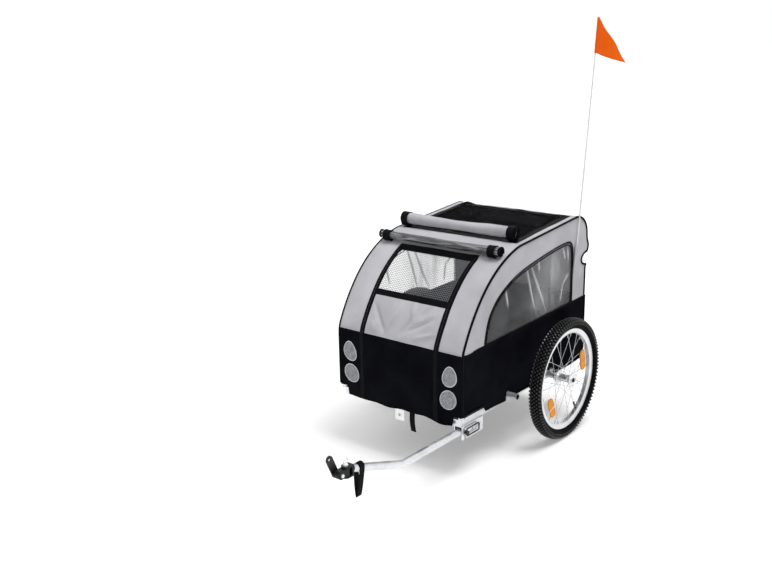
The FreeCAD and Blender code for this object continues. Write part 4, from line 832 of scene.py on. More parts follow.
def make_front():
    """Black skirts each side of the door, and the grey cloth beside it and over it as a brow."""
    for side, sign in SIDES:
        cols = [sign * y for y in steps(DOOR_HALF, 250, 7) + steps(252, 262, 5) + steps(266, HALF, 3)]
        skirt = cloth(
            f"{side}_front_skirt", steps(0, WAIST, 26), cols, front_place, ["black"], "chassis",
            "black_fabric", ["front_skirts"], flip=sign < 0,
        )

    def brow_place(run, y):
        if run < HINGE:
            return front_place(run, y)
        edge = smooth(0, 30, min(run - HINGE, ROOF_START - run))
        # The brow's edge lies lower than the door's at their seam, so that the door can fold up.
        tuck = 1.45 * (1 - smooth(0, 12, run - HINGE)) * (1 - smooth(0, 15, abs(y) - DOOR_HALF))
        return wrap(run, y, edge * sag(run, y, 8.2, 4.0) - tuck)

    def brow_kind(run, y):
        return 1 if HINGE < run < BROW_BAND and abs(y) < DOOR_HALF + 10 else 0

    def door_opening(run, y):
        return run < HINGE and abs(y) < DOOR_HALF

    rows = steps(WAIST, HINGE, 48) + steps(HINGE, BROW_BAND, 5)[1:] + steps(BROW_BAND, ROOF_START, 16)[1:]
    cols = steps(-HALF, -190, 10) + steps(-DOOR_HALF, DOOR_HALF, 30) + steps(190, HALF, 10)
    brow = cloth(
        "brow_cloth", rows, cols, brow_place, ["grey", "binding"], "chassis", "grey_fabric",
        ["brow_panel", "front_strips"], which=brow_kind, opening=door_opening,
    )


def make_door():
    """The door between the zips: black below, grey above, then a band and netting up to its hinge."""
    inner = DOOR_HALF - 0.6
    hinge_band = HINGE - 8

    def panel_kind(run, y):
        return 0 if run < WAIST else 1 if run < BAND_LOW else 2

    rows = steps(0, WAIST, 30) + steps(WAIST, BAND_LOW, 46)[1:] + steps(BAND_LOW, BAND_TOP, 5)[1:]
    panel = cloth(
        "door_cloth", rows, steps(-inner, inner, 96), front_place, ["black", "grey", "binding"],
        "front_door", "black_fabric", ["door_panel"], which=panel_kind,
    )

    def net_place(run, y):
        belly = smooth(0, 60, min(run - BAND_TOP, HINGE - run)) * smooth(0, 70, inner - abs(y))
        return wrap(run, y, -5 * belly + ripple(run, y, 110, 90, 3, 2.2) * belly)

    def net_kind(run, y):
        return 1 if run > hinge_band else 0

    rows = steps(BAND_TOP, hinge_band, 24) + [HINGE - 4, HINGE - 0.5]
    net = cloth(
        "door_netting", rows, steps(-inner, inner, 40), net_place, ["door_net", "binding"], "front_door",
        "mesh_fabric", ["door_mesh"], thick=0.8, which=net_kind,
    )


def make_zips():
    """Zip tape and teeth down both sides of the door, half on the door and half on the cover."""
    tooth = block_shape("zip_tooth", 1.9, 3.0, 2.2, 0.5)
    stitch = block_shape("zip_stitch", 4.0, 0.9, 0.7, 0.25)
    # Each half: body, name, cloth it is sewn to, side of the gap, edge at the gap, where its tape ends,
    # and how many of the tape's last rows are left without teeth.
    for body, half, sewn_to, way, edge, last, bare in (
        ("front_door", "door", "door_cloth", -1, DOOR_HALF - 0.6, HINGE - 1, 1),
        ("chassis", "cover", "brow_cloth", 1, DOOR_HALF + 0.6, BROW_BAND - 4, 0),
    ):
        rows = steps(6, last, 90)
        for side, sign in SIDES:
            name = f"{side}_zip_on_{half}"

            def tape_place(run, y):
                lift = 1.6 if abs(abs(y) - edge) < 10.5 else 0.4
                shifted = run if run > 30 else run + hem_drop(y) * (1 - run / 30)
                wave = math.sin(run / 31) * smooth(40, 80, WAIST - run)
                return wrap(shifted, y, front_out(run, y) + lift + wave)

            cols = [sign * (edge + way * w) for w in (0, 1.5, 5, 10, 11)]
            tape = cloth(
                name, rows, cols, tape_place, ["binding"], body, "black_fabric", thick=1.0,
                flip=sign * way < 0,
            )
            for what, shape, inset, lift, spacing, finish, slot in (
                ("teeth", tooth, 1.5, 1.4, 3.0, "nylon", "black_plastic"),
                ("stitches", stitch, 9, 1.5, 6.5, "thread", "black_fabric"),
            ):
                y = sign * (edge + way * inset)
                line = [wrap(run, y, front_out(run, y) + lift) for run in rows[2 : len(rows) - bare]]
                made = row(f"{name}_{what}", line, shape, spacing, finish, (0, -1, 0))
                new_piece(f"{name}_{what}", made, [], body)
    bpy.data.objects.remove(tooth)
    bpy.data.objects.remove(stitch)


def make_roof():
    """Roof netting that sags in a black bound frame, with grey cloth along its sides."""
    band_wide, frame_half, depth = 26, 248, 32

    def hollow(run, y):
        """The netting's sag: 0 at its frame, 1 in the middle."""
        ends = smooth(0, 85, run - ROOF_START - 24) * smooth(0, 75, ROOF_END - 24 - run)
        return ends * smooth(0, 75, 250 - abs(y))

    def rumple(y):
        """The rear band stands up a little: peaked near both ends, and wavy between them."""
        peak = 7 * bump_at(y, -235, 45) + 9 * bump_at(y, 244, 18)
        return (peak + 4.5 * math.sin(y / 52 + 0.7) + 2 * math.sin(y / 21)) * smooth(0, 30, 270 - abs(y))

    def frame_place(run, y):
        wave = ripple(run, y, 70, 60, 3.0, 4.4) * smooth(0, 20, HALF - abs(y))
        rise = smooth(ROOF_END - 60, ROOF_END - band_wide, run) * (1 - smooth(ROOF_END - 8, ROOF_END, run))
        tight = abs(y) > 249 or run > ROOF_END - 27 or run < ROOF_START + 20
        sunk = 0.0 if tight else -depth * hollow(run, y)
        return wrap(run, y, sunk + wave * 0.7 + rumple(y) * rise)

    def net_place(run, y):
        deep = hollow(run, y)
        return wrap(run, y, -2.2 - depth * deep + ripple(run, y, 80, 70, 4, 4.9) * deep)

    def edge_kind(run, y):
        return 0 if abs(y) > 274 else 1

    for side, sign in SIDES:
        cols = [sign * y for y in (frame_half, 254, 260, 267, 274, 282, 290, HALF)]
        edge = cloth(
            f"{side}_roof_edge", steps(ROOF_START, ROOF_END, 60), cols, frame_place, ["grey", "binding"],
            "chassis", "black_fabric", ["roof_mesh"], which=edge_kind, flip=sign < 0, thick=1.8,
        )
    for end, first in (("front", ROOF_START), ("rear", ROOF_END - band_wide)):
        band = cloth(
            f"{end}_roof_band", steps(first, first + band_wide, 6), steps(-frame_half, frame_half, 60),
            frame_place, ["binding"], "chassis", "black_fabric", ["roof_mesh"], thick=1.8,
        )
    net = cloth(
        "roof_netting", steps(ROOF_START + 20, ROOF_END - 20, 48), steps(-252, 252, 56), net_place,
        ["roof_net"], "chassis", "mesh_fabric", ["roof_mesh"], thick=0.8,
    )


def rear_cut(z, depth):
    """How far the cloth is cut in round the hoop's joint, as half an ellipse."""
    return max(0.0, 1 - ((z - CUT_MIDDLE) / CUT_HALF) ** 2) ** 0.5 * depth


def rear_slack(z, sign):
    """How the corner hangs: slack above the cut and drawn in below it, more so on the left."""
    share = 1 if sign > 0 else 0.6
    return -15 * share * bump_at(z, 736, 26), 7 * share * (1 - smooth(640, 662, z))


def arch_point(run, sign, inset=0.0):
    """The side panel's outer edge as (x, z), forwards of the outline at the rear corner."""
    x, z, out_x, out_z = outline(run)
    shift = 0.0
    if run > TAIL_END - 40 and z > 517:
        shift = sum(rear_slack(z, sign)) + rear_cut(z, 42)
    return Vector((x - inset * out_x + shift, z - inset * out_z))


# The window's edge as (x, z), from its lower front corner over the top to its lower rear corner.
WINDOW = Path(
    rounded(
        [
            (455, 496), (452, 522), (440, 568), (417, 613), (360, 667), (266, 713), (169, 739), (27, 763),
            (-80, 776), (-150, 779), (-179, 769), (-193, 741), (-196, 690), (-197, 600), (-198, 514),
        ]
    )
)
# Places round the panel that face each other: a length of cloth on the arch, a length on the window.
PAIRS = [
    (WAIST, 0.0),
    (WAIST + 130, WINDOW.nearest(Vector((417, 613)))),
    (HINGE - 20, WINDOW.nearest(Vector((300, 698)))),
    (ROOF_START + 40, WINDOW.nearest(Vector((150, 742)))),
    (1314, WINDOW.nearest(Vector((-181, 767)))),
    (TAIL_END, WINDOW.nearest(Vector((-194, 735)))),
    (REAR_WAIST, WINDOW.length),
]
# Pulls in the grey side cloth: start and end as (x, z), width, depth.
SIDE_PULLS = [
    ((-225, 790), (-150, 830), 7, 3),
    ((-290, 800), (-240, 700), 9, -3),
    ((20, 800), (110, 812), 8, 2.5),
    ((-260, 640), (-230, 540), 10, 2.5),
    ((480, 560), (560, 600), 12, 2.5),
]
# Sharp folds in the window film: start and end as (x, z).
FILM_FOLDS = [
    ((178, 775), (85, 525)), ((142, 765), (2, 515)), ((-112, 770), (-140, 700)), ((-104, 530), (-121, 620)),
    ((-118, 605), (-172, 648)), ((310, 690), (285, 600)), ((-150, 765), (-166, 690)), ((82, 785), (60, 690)),
]


def waist_z(x):
    """The seam between black skirt and grey side: a straight line that rises to the rear."""
    (front_x, front_z), (rear_x, rear_z) = WAIST_FRONT, WAIST_REAR
    return front_z + (front_x - x) / (front_x - rear_x) * (rear_z - front_z)


def window_run(run):
    """The length along the window's edge that faces a length of cloth on the arch."""
    for (a, b), (c, e) in zip(PAIRS, PAIRS[1:]):
        if run <= c:
            return b + (e - b) * (run - a) / (c - a)
    return WINDOW.length


def window_top(x):
    """The height of the window's edge over a place along it."""
    for p, q in zip(WINDOW.points, WINDOW.points[1:]):
        if q.x <= x <= p.x:
            part = (p.x - x) / max(p.x - q.x, 1e-9)
            return p.y + part * (q.y - p.y)
    return WINDOW.points[0].y if x > 0 else WINDOW.points[-1].y


def beside_window(first, last, count, inset):
    """Points along the window's edge, set in from it towards the film."""
    spots = []
    for run in steps(first, last, count):
        way = WINDOW.at(min(run + 3, WINDOW.length)) - WINDOW.at(max(run - 3, 0))
        spots.append(WINDOW.at(run) + Vector((-way.y, way.x)).normalized() * inset)
    return spots


def film_folds(x, z):
    """How sharply the window film is folded at a place."""
    return sum(crease(x, z, *ends, 4.5, 1.0) for ends in FILM_FOLDS)


def film_painted_light(x, z):
    """How strongly painted light brightens the window film: most in its upper rear half."""
    high = bump_at(x, -50, 95) * bump_at(z, 690, 95)
    low = 0.75 * bump_at(x, 25, 120) * bump_at(z, 590, 100)
    return max(high, low)


def side_hem(x):
    """The lower edge of a side skirt, arched over the two tubes that come out under it."""
    hem = 232 + 1.8 * math.sin(x / 63) + math.sin(x / 27)
    hem += 23 * smooth(440, 456, x)
    for tube in (0, 286):
        gap = 15.5**2 - (x - tube) ** 2
        if gap > 0:
            hem = max(hem, 252 + gap**0.5)
    return hem


def hem_columns(first, last):
    """Places along a side hem, close together where it arches over the tubes."""
    spans = [(first, 452, 14), (450, 304, 14), (302, 270, 24), (268, 16, 22), (14, -18, 24), (-20, last, 24)]
    return [x for span in spans for x in steps(*span)]


def make_sides():
    """Grey side panels round the windows, black skirts below them, and the windows themselves."""
    runs = steps(WAIST, 1240, 90) + steps(1250, TAIL_END, 14) + steps(TAIL_END, 1425, 4)[1:]
    runs += steps(1425, 1560, 54)[1:] + steps(1560, REAR_WAIST, 10)[1:]
    pane_columns = steps(455.5, 440, 6) + steps(436, -176, 110) + steps(-179, -198, 9)
    for side, sign in SIDES:

        def panel_place(run, share):
            share /= 100
            spot = arch_point(run, sign).lerp(WINDOW.at(window_run(run)), share)
            if run <= WAIST + 0.01 or run >= REAR_WAIST - 0.01:
                spot.y = waist_z(spot.x)
            pulls = sum(crease(spot.x, spot.y, *pull) for pull in SIDE_PULLS)
            slack = math.sin(math.pi * share) * (ripple(spot.x, spot.y, 120, 90, 2.5, 2.0 + sign) + pulls)
            return at(spot.x, sign * (HALF + slack), spot.y)

        def skirt_place(x, share):
            share /= 100
            low = side_hem(x)
            z = low + share * (waist_z(x) - low)
            loose = smooth(0, 0.2, 1 - share) * smooth(0, 40, min(FRONT_X - x, x + 309))
            fold = crease(x, z, (560, 440), (520, 300), 16, 7) + crease(x, z, (585, 460), (570, 330), 9, -5)
            out = loose * (ripple(x, z, 150, 120, 6, 7.7 * sign) + fold - 2)
            return at(x, sign * (HALF + out), z)

        def pane_place(x, share):
            share /= 100
            low = waist_z(x) - 2
            top = max(window_top(x), low + 0.2)
            z = low + share * (top - low)
            tight = smooth(0, 45, top - z) * smooth(0, 50, min(457 - x, x + 199)) * smooth(0, 25, z - low)
            upright = 3.5 * noise.noise(Vector((x / 70, z / 420, 3.1 * sign)))
            broad = 3 * noise.noise(Vector((x / 170, z / 150, 5.5)))
            belly = upright + broad + 3.5 * film_folds(x, z)
            return at(x, sign * (HALF - 1.6 + tight * (belly - 2)), z)

        panel = cloth(
            f"{side}_side_cloth", runs, steps(0, 100, 12), panel_place, ["grey"], "chassis", "grey_fabric",
            [f"{side}_side_panel"], flip=sign < 0,
        )
        skirt = cloth(
            f"{side}_skirt_cloth", [594.4] + hem_columns(594, -309), steps(0, 100, 16), skirt_place,
            ["black"], "chassis", "black_fabric", [f"{side}_skirt"], flip=sign > 0,
        )
        pane = cloth(
            f"{side}_window_film", pane_columns, steps(0, 100, 30), pane_place, ["vinyl"], "chassis",
            "clear_vinyl", ["side_windows"], thick=0.6, flip=sign > 0,
        )
        # Per point: whitening along the folds, partly stress-whitening and partly painted highlight, and a
        # broad zone of painted light.
        for attribute, rule in (("fold", film_folds), ("gleam", film_painted_light)):
            values = pane.data.attributes.new(attribute, "FLOAT", "POINT").data
            for v in pane.data.vertices:
                x, _, z = from_node(*v.co)
                values[v.index].value = min(rule(x, z), 1.0)


def rear_hem(y):
    """Where the rear skirt ends, as a length of cloth."""
    return REAR_HEM + 3 * math.sin(y / 70) - 2


def make_rear():
    """Grey rear cloth and black rear skirt, the cloth cut out at both edges round the hoops' joints."""

    def over_hoop(y, out):
        """The cloth sinks between the hoops, but lies on them."""
        return out + (max(out, 0.0) - out) * smooth(HALF - 58, HALF - 32, abs(y))

    def rear_place(run, share):
        z = outline(run)[1]
        y = share / 100 * (HALF - (rear_cut(z, 40) if run > TAIL_END else 0.0))
        out = sag(run, y, 6.6, 5.0) * smooth(0, 40, run - ROOF_END) * smooth(0, 40, REAR_WAIST - run)
        out = over_hoop(y, out)
        if run > TAIL_END - 40:
            bulge, drawn = rear_slack(z, y)
            round_hoop = max(0.0, (abs(y) - HALF + 14) / 14) ** 2
            out -= bulge * smooth(HALF - 130, HALF, abs(y)) + drawn * round_hoop
        return wrap(run, y, out)

    def skirt_place(run, y):
        share = (run - REAR_WAIST) / (REAR_HEM - REAR_WAIST)
        out = over_hoop(y, sag(run, y, 9.3, 5.0) * smooth(0, 30, run - REAR_WAIST))
        return wrap(REAR_WAIST + share * (rear_hem(y) - REAR_WAIST), y, out)

    rows = steps(ROOF_END, TAIL_END, 20) + steps(TAIL_END, 1425, 4)[1:] + steps(1425, 1560, 54)[1:]
    rows += steps(1560, REAR_WAIST, 10)[1:]
    edge = [96.5, 98, 99.2, 100]
    cols = [-share for share in edge[::-1]] + steps(-95, 95, 44) + edge
    panel = cloth("rear_cloth", rows, cols, rear_place, ["grey"], "chassis", "grey_fabric", ["rear_panel"])
    skirt = cloth(
        "rear_skirt_cloth", steps(REAR_WAIST, REAR_HEM, 24), steps(-HALF, HALF, 48), skirt_place, ["black"],
        "chassis", "black_fabric", ["rear_skirt"],
    )


def make_trim():
    """Black piping along the arches and corners, bound window edges, seams and their stitches."""
    runs = steps(42, 1240, 150) + steps(1250, 1425, 26) + steps(1425, 1560, 90)[1:]
    runs += steps(1565, REAR_HEM - 8, 44)
    arches, outer, inner, seams, hems = [], [], [], [], []
    for _, sign in SIDES:
        spots = [arch_point(run, sign, 0.5) for run in runs]
        arches.append([at(p.x, sign * (HALF + 1.6), p.y) for p in spots])
        for inset, lines in ((0, outer), (11, inner)):
            spots = beside_window(0, WINDOW.length, 140, inset)
            lines.append([at(p.x, sign * (HALF + 0.6), max(p.y, waist_z(p.x))) for p in spots])
        seams.append([at(x, sign * (HALF + 0.8), waist_z(x) + 1) for x in steps(594, -308, 90)])
        hems.append([at(x, sign * (HALF - 0.4), side_hem(x) + 2.5) for x in hem_columns(592, -308)])
    hems.append([wrap(rear_hem(y) - 2.5, y, 0.2) for y in steps(-HALF + 2, HALF - 2, 60)])

    def front_line(first, last, count):
        """The front hem's line, just above its edge."""
        return [wrap(hem_drop(y) + 2.5, y, front_out(2, y) - 0.3) for y in steps(first, last, count)]

    # A hem's tape: radius, sides, flatness.
    hem = (3.0, 6, 0.55)
    piping("arch_piping", arches, 4.6, 8, nodes=["edge_piping"])
    piping("window_binding", outer, 3.6, 8, 0.7)
    piping("window_inner_seam", inner, 2.3, 6, 0.8)
    piping("waist_seam", seams, 2.4, 6, 0.6)
    piping("hem_binding", hems, *hem)
    for side, sign in SIDES:
        piping(f"{side}_front_hem", [front_line(sign * (DOOR_HALF + 1), sign * (HALF - 3), 40)], *hem)
    piping("door_hem", [front_line(-DOOR_HALF + 1, DOOR_HALF - 1, 70)], *hem, body="front_door")

    stitch = block_shape("seam_stitch", 4.2, 1.0, 0.8, 0.3)
    edge = [(p.x, p.y) for p in beside_window(4, WINDOW.length - 4, 160, -6.5)]
    waist = [(x, waist_z(x) - 6) for x in steps(588, -300, 90)]
    for name, spots, out, finish, slot in (
        ("window_stitches", edge, 0.35, "grey_thread", "grey_fabric"),
        ("waist_stitches", waist, 0.5, "thread", "black_fabric"),
    ):
        rows = []
        for _, sign in SIDES:
            line = [at(x, sign * (HALF + out), z) for x, z in spots]
            rows.append(row(name, line, stitch, 7, finish, (0, 0, 1)))
        new_piece(name, join_meshes(name, rows), [finish], "chassis")
    bpy.data.objects.remove(stitch)


# Rolled covers, patches, straps and flag

# The rolls: node, piece, finishes, slot, turns, thickness of a layer, seed of the lumps, and how far
# the loops sit in from the ends.
ROLLS = [
    ("roof_cover_roll", "roof_cover_rolled", ["grey", "binding"], "grey_fabric", 2.6, 2.2, 3.0, 3),
    ("rain_cover_roll", "rain_cover_rolled", ["rolled_vinyl", "binding"], "clear_vinyl", 2.1, 1.6, 8.0, 22),
]
LOOP_WIDE = 32


def make_rolls():
    """The rolled roof cover and the rolled rain cover, with the webbing loops that hold them."""
    loops = []
    for node, name, finishes, slot, turns, sheet, seed, inset in ROLLS:
        low, high = node_box(node)
        middle_x, middle_z = (low[0] + high[0]) / 2, (low[2] + high[2]) / 2
        radius = (high[2] - low[2]) / 2
        holds = (high[1] - inset - LOOP_WIDE / 2, low[1] + inset + LOOP_WIDE / 2)
        turned = steps(0, 360 * turns, int(26 * turns))

        def droop(y):
            return -2.5 * math.sin(math.pi * (y - low[1]) / (high[1] - low[1]))

        def girth(y):
            """How full the roll is: drawn in under its loops and slack between them."""
            pinch = 1 - 0.05 * max(bump_at(y, hold, 20) for hold in holds)
            if node == "roof_cover_roll":
                return pinch * (1 - 0.17 * bump_at(y, -20, 120))
            return pinch * (0.92 + 0.14 * smooth(170, 260, y) + 0.04 * smooth(-220, -280, y))

        def roll_place(y, turn):
            angle, way = math.radians(turn), math.radians(205 - turn)
            share = turn / (360 * turns)
            size = (radius - 0.4) * (1 - 0.62 * share) * girth(y)
            ends = smooth(0, 60, min(high[1] - y, y - low[1]))
            lumps = noise.noise(Vector((y / 95, math.cos(angle), seed + math.sin(angle))))
            size *= 1 + ends * lumps * 0.06
            creases = noise.noise(Vector((y / 60, turn / 200, seed)))
            size += ends * 0.8 * math.sin(y / 23 + turn / 57) * creases
            return at(middle_x + size * math.cos(way), y, middle_z + droop(y) + size * math.sin(way))

        def roll_kind(y, turn):
            return 1 if y < low[1] + 11 or y > high[1] - 11 else 0

        def loop_place(y, turn):
            way = math.radians(turn - 100)
            size = radius * girth(y) + 1.9 + 0.6 * noise.noise(Vector((y / 12, turn / 60, seed)))
            slack = 3.0 * bump_at((turn + 180) % 360 - 180, 0, 26)
            z = middle_z + droop(y) + (size + slack) * math.sin(way)
            # The loop's loose end lies over its start.
            over = 0.0024 * smooth(345, 365, turn) if turn >= 350 else 0.0
            spot = at(middle_x + size * math.cos(way), y, z)
            return spot + Vector((math.cos(way), 0, math.sin(way))) * over

        rows = [low[1], low[1] + 3, low[1] + 8] + steps(low[1] + 14, high[1] - 14, 56)
        rows += [high[1] - 8, high[1] - 3, high[1]]
        roll = cloth(
            name, rows, turned, roll_place, finishes, "chassis", slot, [node], thick=sheet, which=roll_kind,
            flip=True,
        )
        if node == "rain_cover_roll":
            rims = [[roll_place(y, turn) for turn in turned] for y in (low[1] + 2, high[1] - 2)]
            piping("rain_cover_edges", rims, 2.0, 6)
        for hold in holds:
            across = steps(hold - LOOP_WIDE / 2, hold + LOOP_WIDE / 2, 8)
            loops.append(cloth_mesh(f"{name}_loop", across, steps(0, 420, 64), loop_place, 1.6))
    joined = join_meshes("roll_loops_webbing", loops)
    piece = new_piece("roll_loops_webbing", joined, ["webbing"], "chassis", ["roll_loops"])


# Patches on each front skirt: middle y, middle z, width, height, how far it narrows to the top, and its
# rise to the outside.
PATCHES = [(243, 407, 72, 78, 0.34, 0.17), (237, 315, 74, 73, 0.06, 0.1)]


def patch_point(patch, sign, turn, share, lift):
    """A point of a patch at a share of the way from its middle to its edge."""
    y, z, wide, tall, point, rise = patch
    u, v = math.cos(turn), math.sin(turn)
    narrow = 1 - point * (0.5 + 0.5 * v) ** 1.5
    side = wide / 2 * u * share * narrow
    y = sign * y + side
    run = z + tall / 2 * v * share + sign * rise * side - FRONT_HEM
    return wrap(run, y, front_out(run, y) + lift)


def patch_mesh(patch, sign):
    """A sewn patch on the front skirt, gently domed, with a thin edge."""
    sides = 40
    turns = steps(0, 2 * math.pi, sides)[:-1]
    domed = [(share, 2.3 + 0.7 * (1 - share**4)) for share in (0.0, 0.25, 0.5, 0.75, 0.92, 1.0)]
    rings = domed + [(1.0, 0.1)]
    points = [patch_point(patch, sign, turn, share, lift) for share, lift in rings for turn in turns]
    faces = ring_faces(0, len(rings), sides)
    faces.append([(len(rings) - 1) * sides + k for k in range(sides)])
    mesh = new_mesh("patch", points, faces)
    for face in mesh.polygons:
        face.use_smooth = face.index < (len(rings) - 2) * sides
    close_mesh(mesh, even=False)
    return mesh


def make_patches():
    """Two reflective patches each side of the door: an egg above, a round one below, with pale edges."""
    faces, edges = [], []
    for _, sign in SIDES:
        for patch in PATCHES:
            faces.append(patch_mesh(patch, sign))
            turns = steps(0, 2 * math.pi, 60)[:-1]
            edges.append([patch_point(patch, sign, turn, 1.0, 1.7) for turn in turns])
    joined = join_meshes("reflective_patch_faces", faces)
    nodes = ["reflective_patches"]
    new_piece("reflective_patch_faces", joined, ["tape"], "chassis", nodes)
    border = tube_mesh("reflective_patch_edges", edges, 1.7, 6, closed=True, up=(1, 0, 0))
    new_piece("reflective_patch_edges", border, ["tape_edge"], "chassis")


def make_straps():
    """The strap that hangs under the front hem, and the safety strap that hangs from the tow bar."""
    low, high = node_box("hem_strap")

    def hang(z, y):
        drop = (high[2] - z) / (high[2] - low[2])
        bend = 6 * math.sin(drop * 3.0) * drop + 2 * math.sin(y / 9) * drop
        shift = 5 * drop * drop - 3 * math.sin(drop * 3.2)
        return at((low[0] + high[0]) / 2 + 0.8 + bend * 0.5, y + shift - 2, z)

    strap = cloth(
        "hanging_strap", steps(high[2], low[2] + 2, 24), steps(low[1], high[1], 6), hang, ["webbing"],
        "chassis", "black_fabric", ["hem_strap"], thick=1.6,
    )

    low, high = node_box("safety_strap")
    mid_y, wide = (low[1] + high[1]) / 2, (high[1] - low[1]) / 2 - 1.2
    top_z, low_z = high[2] - wide - 1.2, low[2] + 9

    def loop_place(x, turn):
        """Round the bar above, drawn together below as a hanging loop."""
        way = math.radians(turn)
        y, z = mid_y + wide * math.cos(way), top_z + wide * math.sin(way)
        if math.sin(way) < 0:
            drop = -math.sin(way)
            y = mid_y + wide * math.cos(way) * (1 - 0.35 * drop)
            z = top_z - (top_z - low_z) * drop**1.15
        return at(x + 5 * smooth(0, 1, (top_z - z) / (top_z - low_z)), y, z)

    strap = cloth(
        "safety_strap_webbing", steps(low[0] + 0.4, high[0] - 0.4, 6), steps(0, 360, 72), loop_place,
        ["webbing"], "tow_bar", "black_fabric", ["safety_strap"], thick=2.0, flip=True, ring=True,
    )


def make_pocket():
    """The sewn pocket on the left side that takes the flag's pole."""
    low, high = node_box("flag_sleeve")
    deep, wide, tall = 6.2, 11, 0.108
    top_x = low[0] + 8.3
    mid_y = (low[1] + high[1]) / 2

    def pocket_place(z, turn):
        way = math.radians(turn)
        x = top_x + POLE_LEAN * (high[2] - 1 - z)
        out = deep * (0.55 + 0.45 * smooth(low[2], low[2] + 20, z))
        dx, dy = wide * math.cos(way), out * math.sin(way)
        if math.sin(way) < 0:
            dy = max(dy, -(mid_y - HALF - 1.5))
        slack = 0.05 * noise.noise(Vector((z / 20, math.cos(way), math.sin(way))))
        return at(x + dx * (1 + slack), mid_y + dy, z)

    pocket = cloth(
        "flag_pocket", steps(low[2] + 2, high[2] - 1, 20), steps(0, 360, 36), pocket_place, ["grey"],
        "chassis", "grey_fabric", ["flag_sleeve"], thick=1.2, ring=True, flip=True,
    )


def make_flag():
    """The orange pennant: a long triangle that hangs in soft waves from a hem round the pole."""
    pole_low, pole_high = node_box("flag_pole")
    head = Vector((pole_low[0] + 3.2, (pole_low[1] + pole_high[1]) / 2, pole_high[2] - 1))
    hoist = 138.0
    foot = head + Vector((POLE_LEAN * hoist, 0, -hoist))
    reach = Vector((-212, 33, -48))
    tip = foot + reach
    out = Vector((reach.x, reach.y, 0)).normalized()
    across = Vector((-out.y, out.x, 0))

    def pennant_place(share, up):
        share /= 100
        up /= 100
        edge = foot.lerp(head, up) + out * 3.4
        spot = edge.lerp(tip, share)
        swing = smooth(0.02, 0.25, share)
        wave = 4 * math.sin(share * 6.0 + up * 1.3) + 2 * math.sin(share * 12 - up * 2.4 + 0.8)
        spot = spot + across * wave * swing * (0.35 + 0.65 * (1 - 0.4 * share))
        spot.z -= 3 * math.sin(math.pi * share) * (1 - up)
        return at(*spot)

    pennant = cloth(
        "pennant", steps(0, 99, 44), steps(0, 100, 20), pennant_place, ["flag"], "flag", "flag_fabric",
        ["flag_pennant"], thick=0.6,
    )
    line = [at(*foot.lerp(head, t)) for t in steps(0, 1, 16)]
    new_piece("pennant_hem", tube_mesh("pennant_hem", [line], 4.6, 12), ["flag"], "flag")


# Wheels

# Half of the tyre's section, from its bead to its shoulder: radius, distance from its middle.
TYRE_HALF = [
    (203.6, 9.9), (209.6, 9.9), (211, 11.5), (213, 14.5), (214.2, 16.2), (215.6, 16.6), (219, 20.4),
    (224, 22.9), (228.5, 23.6), (233, 23.2), (238, 21.8), (242, 19.4), (245.2, 16), (247.4, 11), (248.6, 5),
]
TYRE_TOP = (248.9, 0)
# Rows of blocks: distance out from the tyre's middle, radius of their feet, tilt, length, width, height.
TREAD = [
    (4.5, 248.0, 0, 7.6, 6.4, 3.9),
    (12.8, 245.4, 20, 7.2, 6.2, 4.6),
    (20.0, 240.0, 54, 8.0, 9.0, 5.2),
    (23.0, 230.6, 86, 5.6, 7.0, 1.9),
]
BLOCKS = 98
# Spoke nipples in four rings: the place of each ring's first spoke, and its distance from the middle.
NIPPLES = [(0, -4.2), (1, 1.8), (2, -1.8), (3, 4.2)]
SPOKES, NIPPLE_R = 28, 188.5
# The hub's end, from the wheel's middle, and its button, outwards from there: radius, distance.
HUB_END = 37
BUTTON = [(0.2, 0), (9, 0), (9, 2), (7.5, 3), (5, 3.2), (5, 4.6), (4.2, 5.2), (0.2, 5.4)]
# Reflectors: distance of the seat from the axle, angle round it, lean from there.
REFLECTORS = [(141.0, -43, 20), (148.0, 165, 5)]


def wheel_point(sign, radius, y, turn):
    """A place on a wheel: its distance from the axle, from the wheel's middle, and its angle."""
    return at(radius * math.cos(turn), sign * TRACK + y, WHEEL_R + radius * math.sin(turn))


def revolve_mesh(name, profile, sign, count):
    """A closed profile of (radius, along y) turned about a wheel's axle."""
    turns = steps(0, 2 * math.pi, count)[:-1]
    points = [wheel_point(sign, radius, y, turn) for turn in turns for radius, y in profile]
    mesh = new_mesh(name, points, ring_faces(0, count, len(profile), closed=True))
    close_mesh(mesh)
    return mesh


def ring_row(name, sign, radius, y, start, count, shape, finish, inwards=False):
    """A shape repeated round a wheel, standing outwards or inwards."""
    line = [wheel_point(sign, radius, y, start - turn) for turn in steps(0, 2 * math.pi, 240)]
    # A hair closer than an even share, so that rounding leaves none out: the last is at the first.
    spacing = 2 * math.pi * radius / count * 0.9995
    return row(name, line[::-1] if inwards else line, shape, spacing, finish)


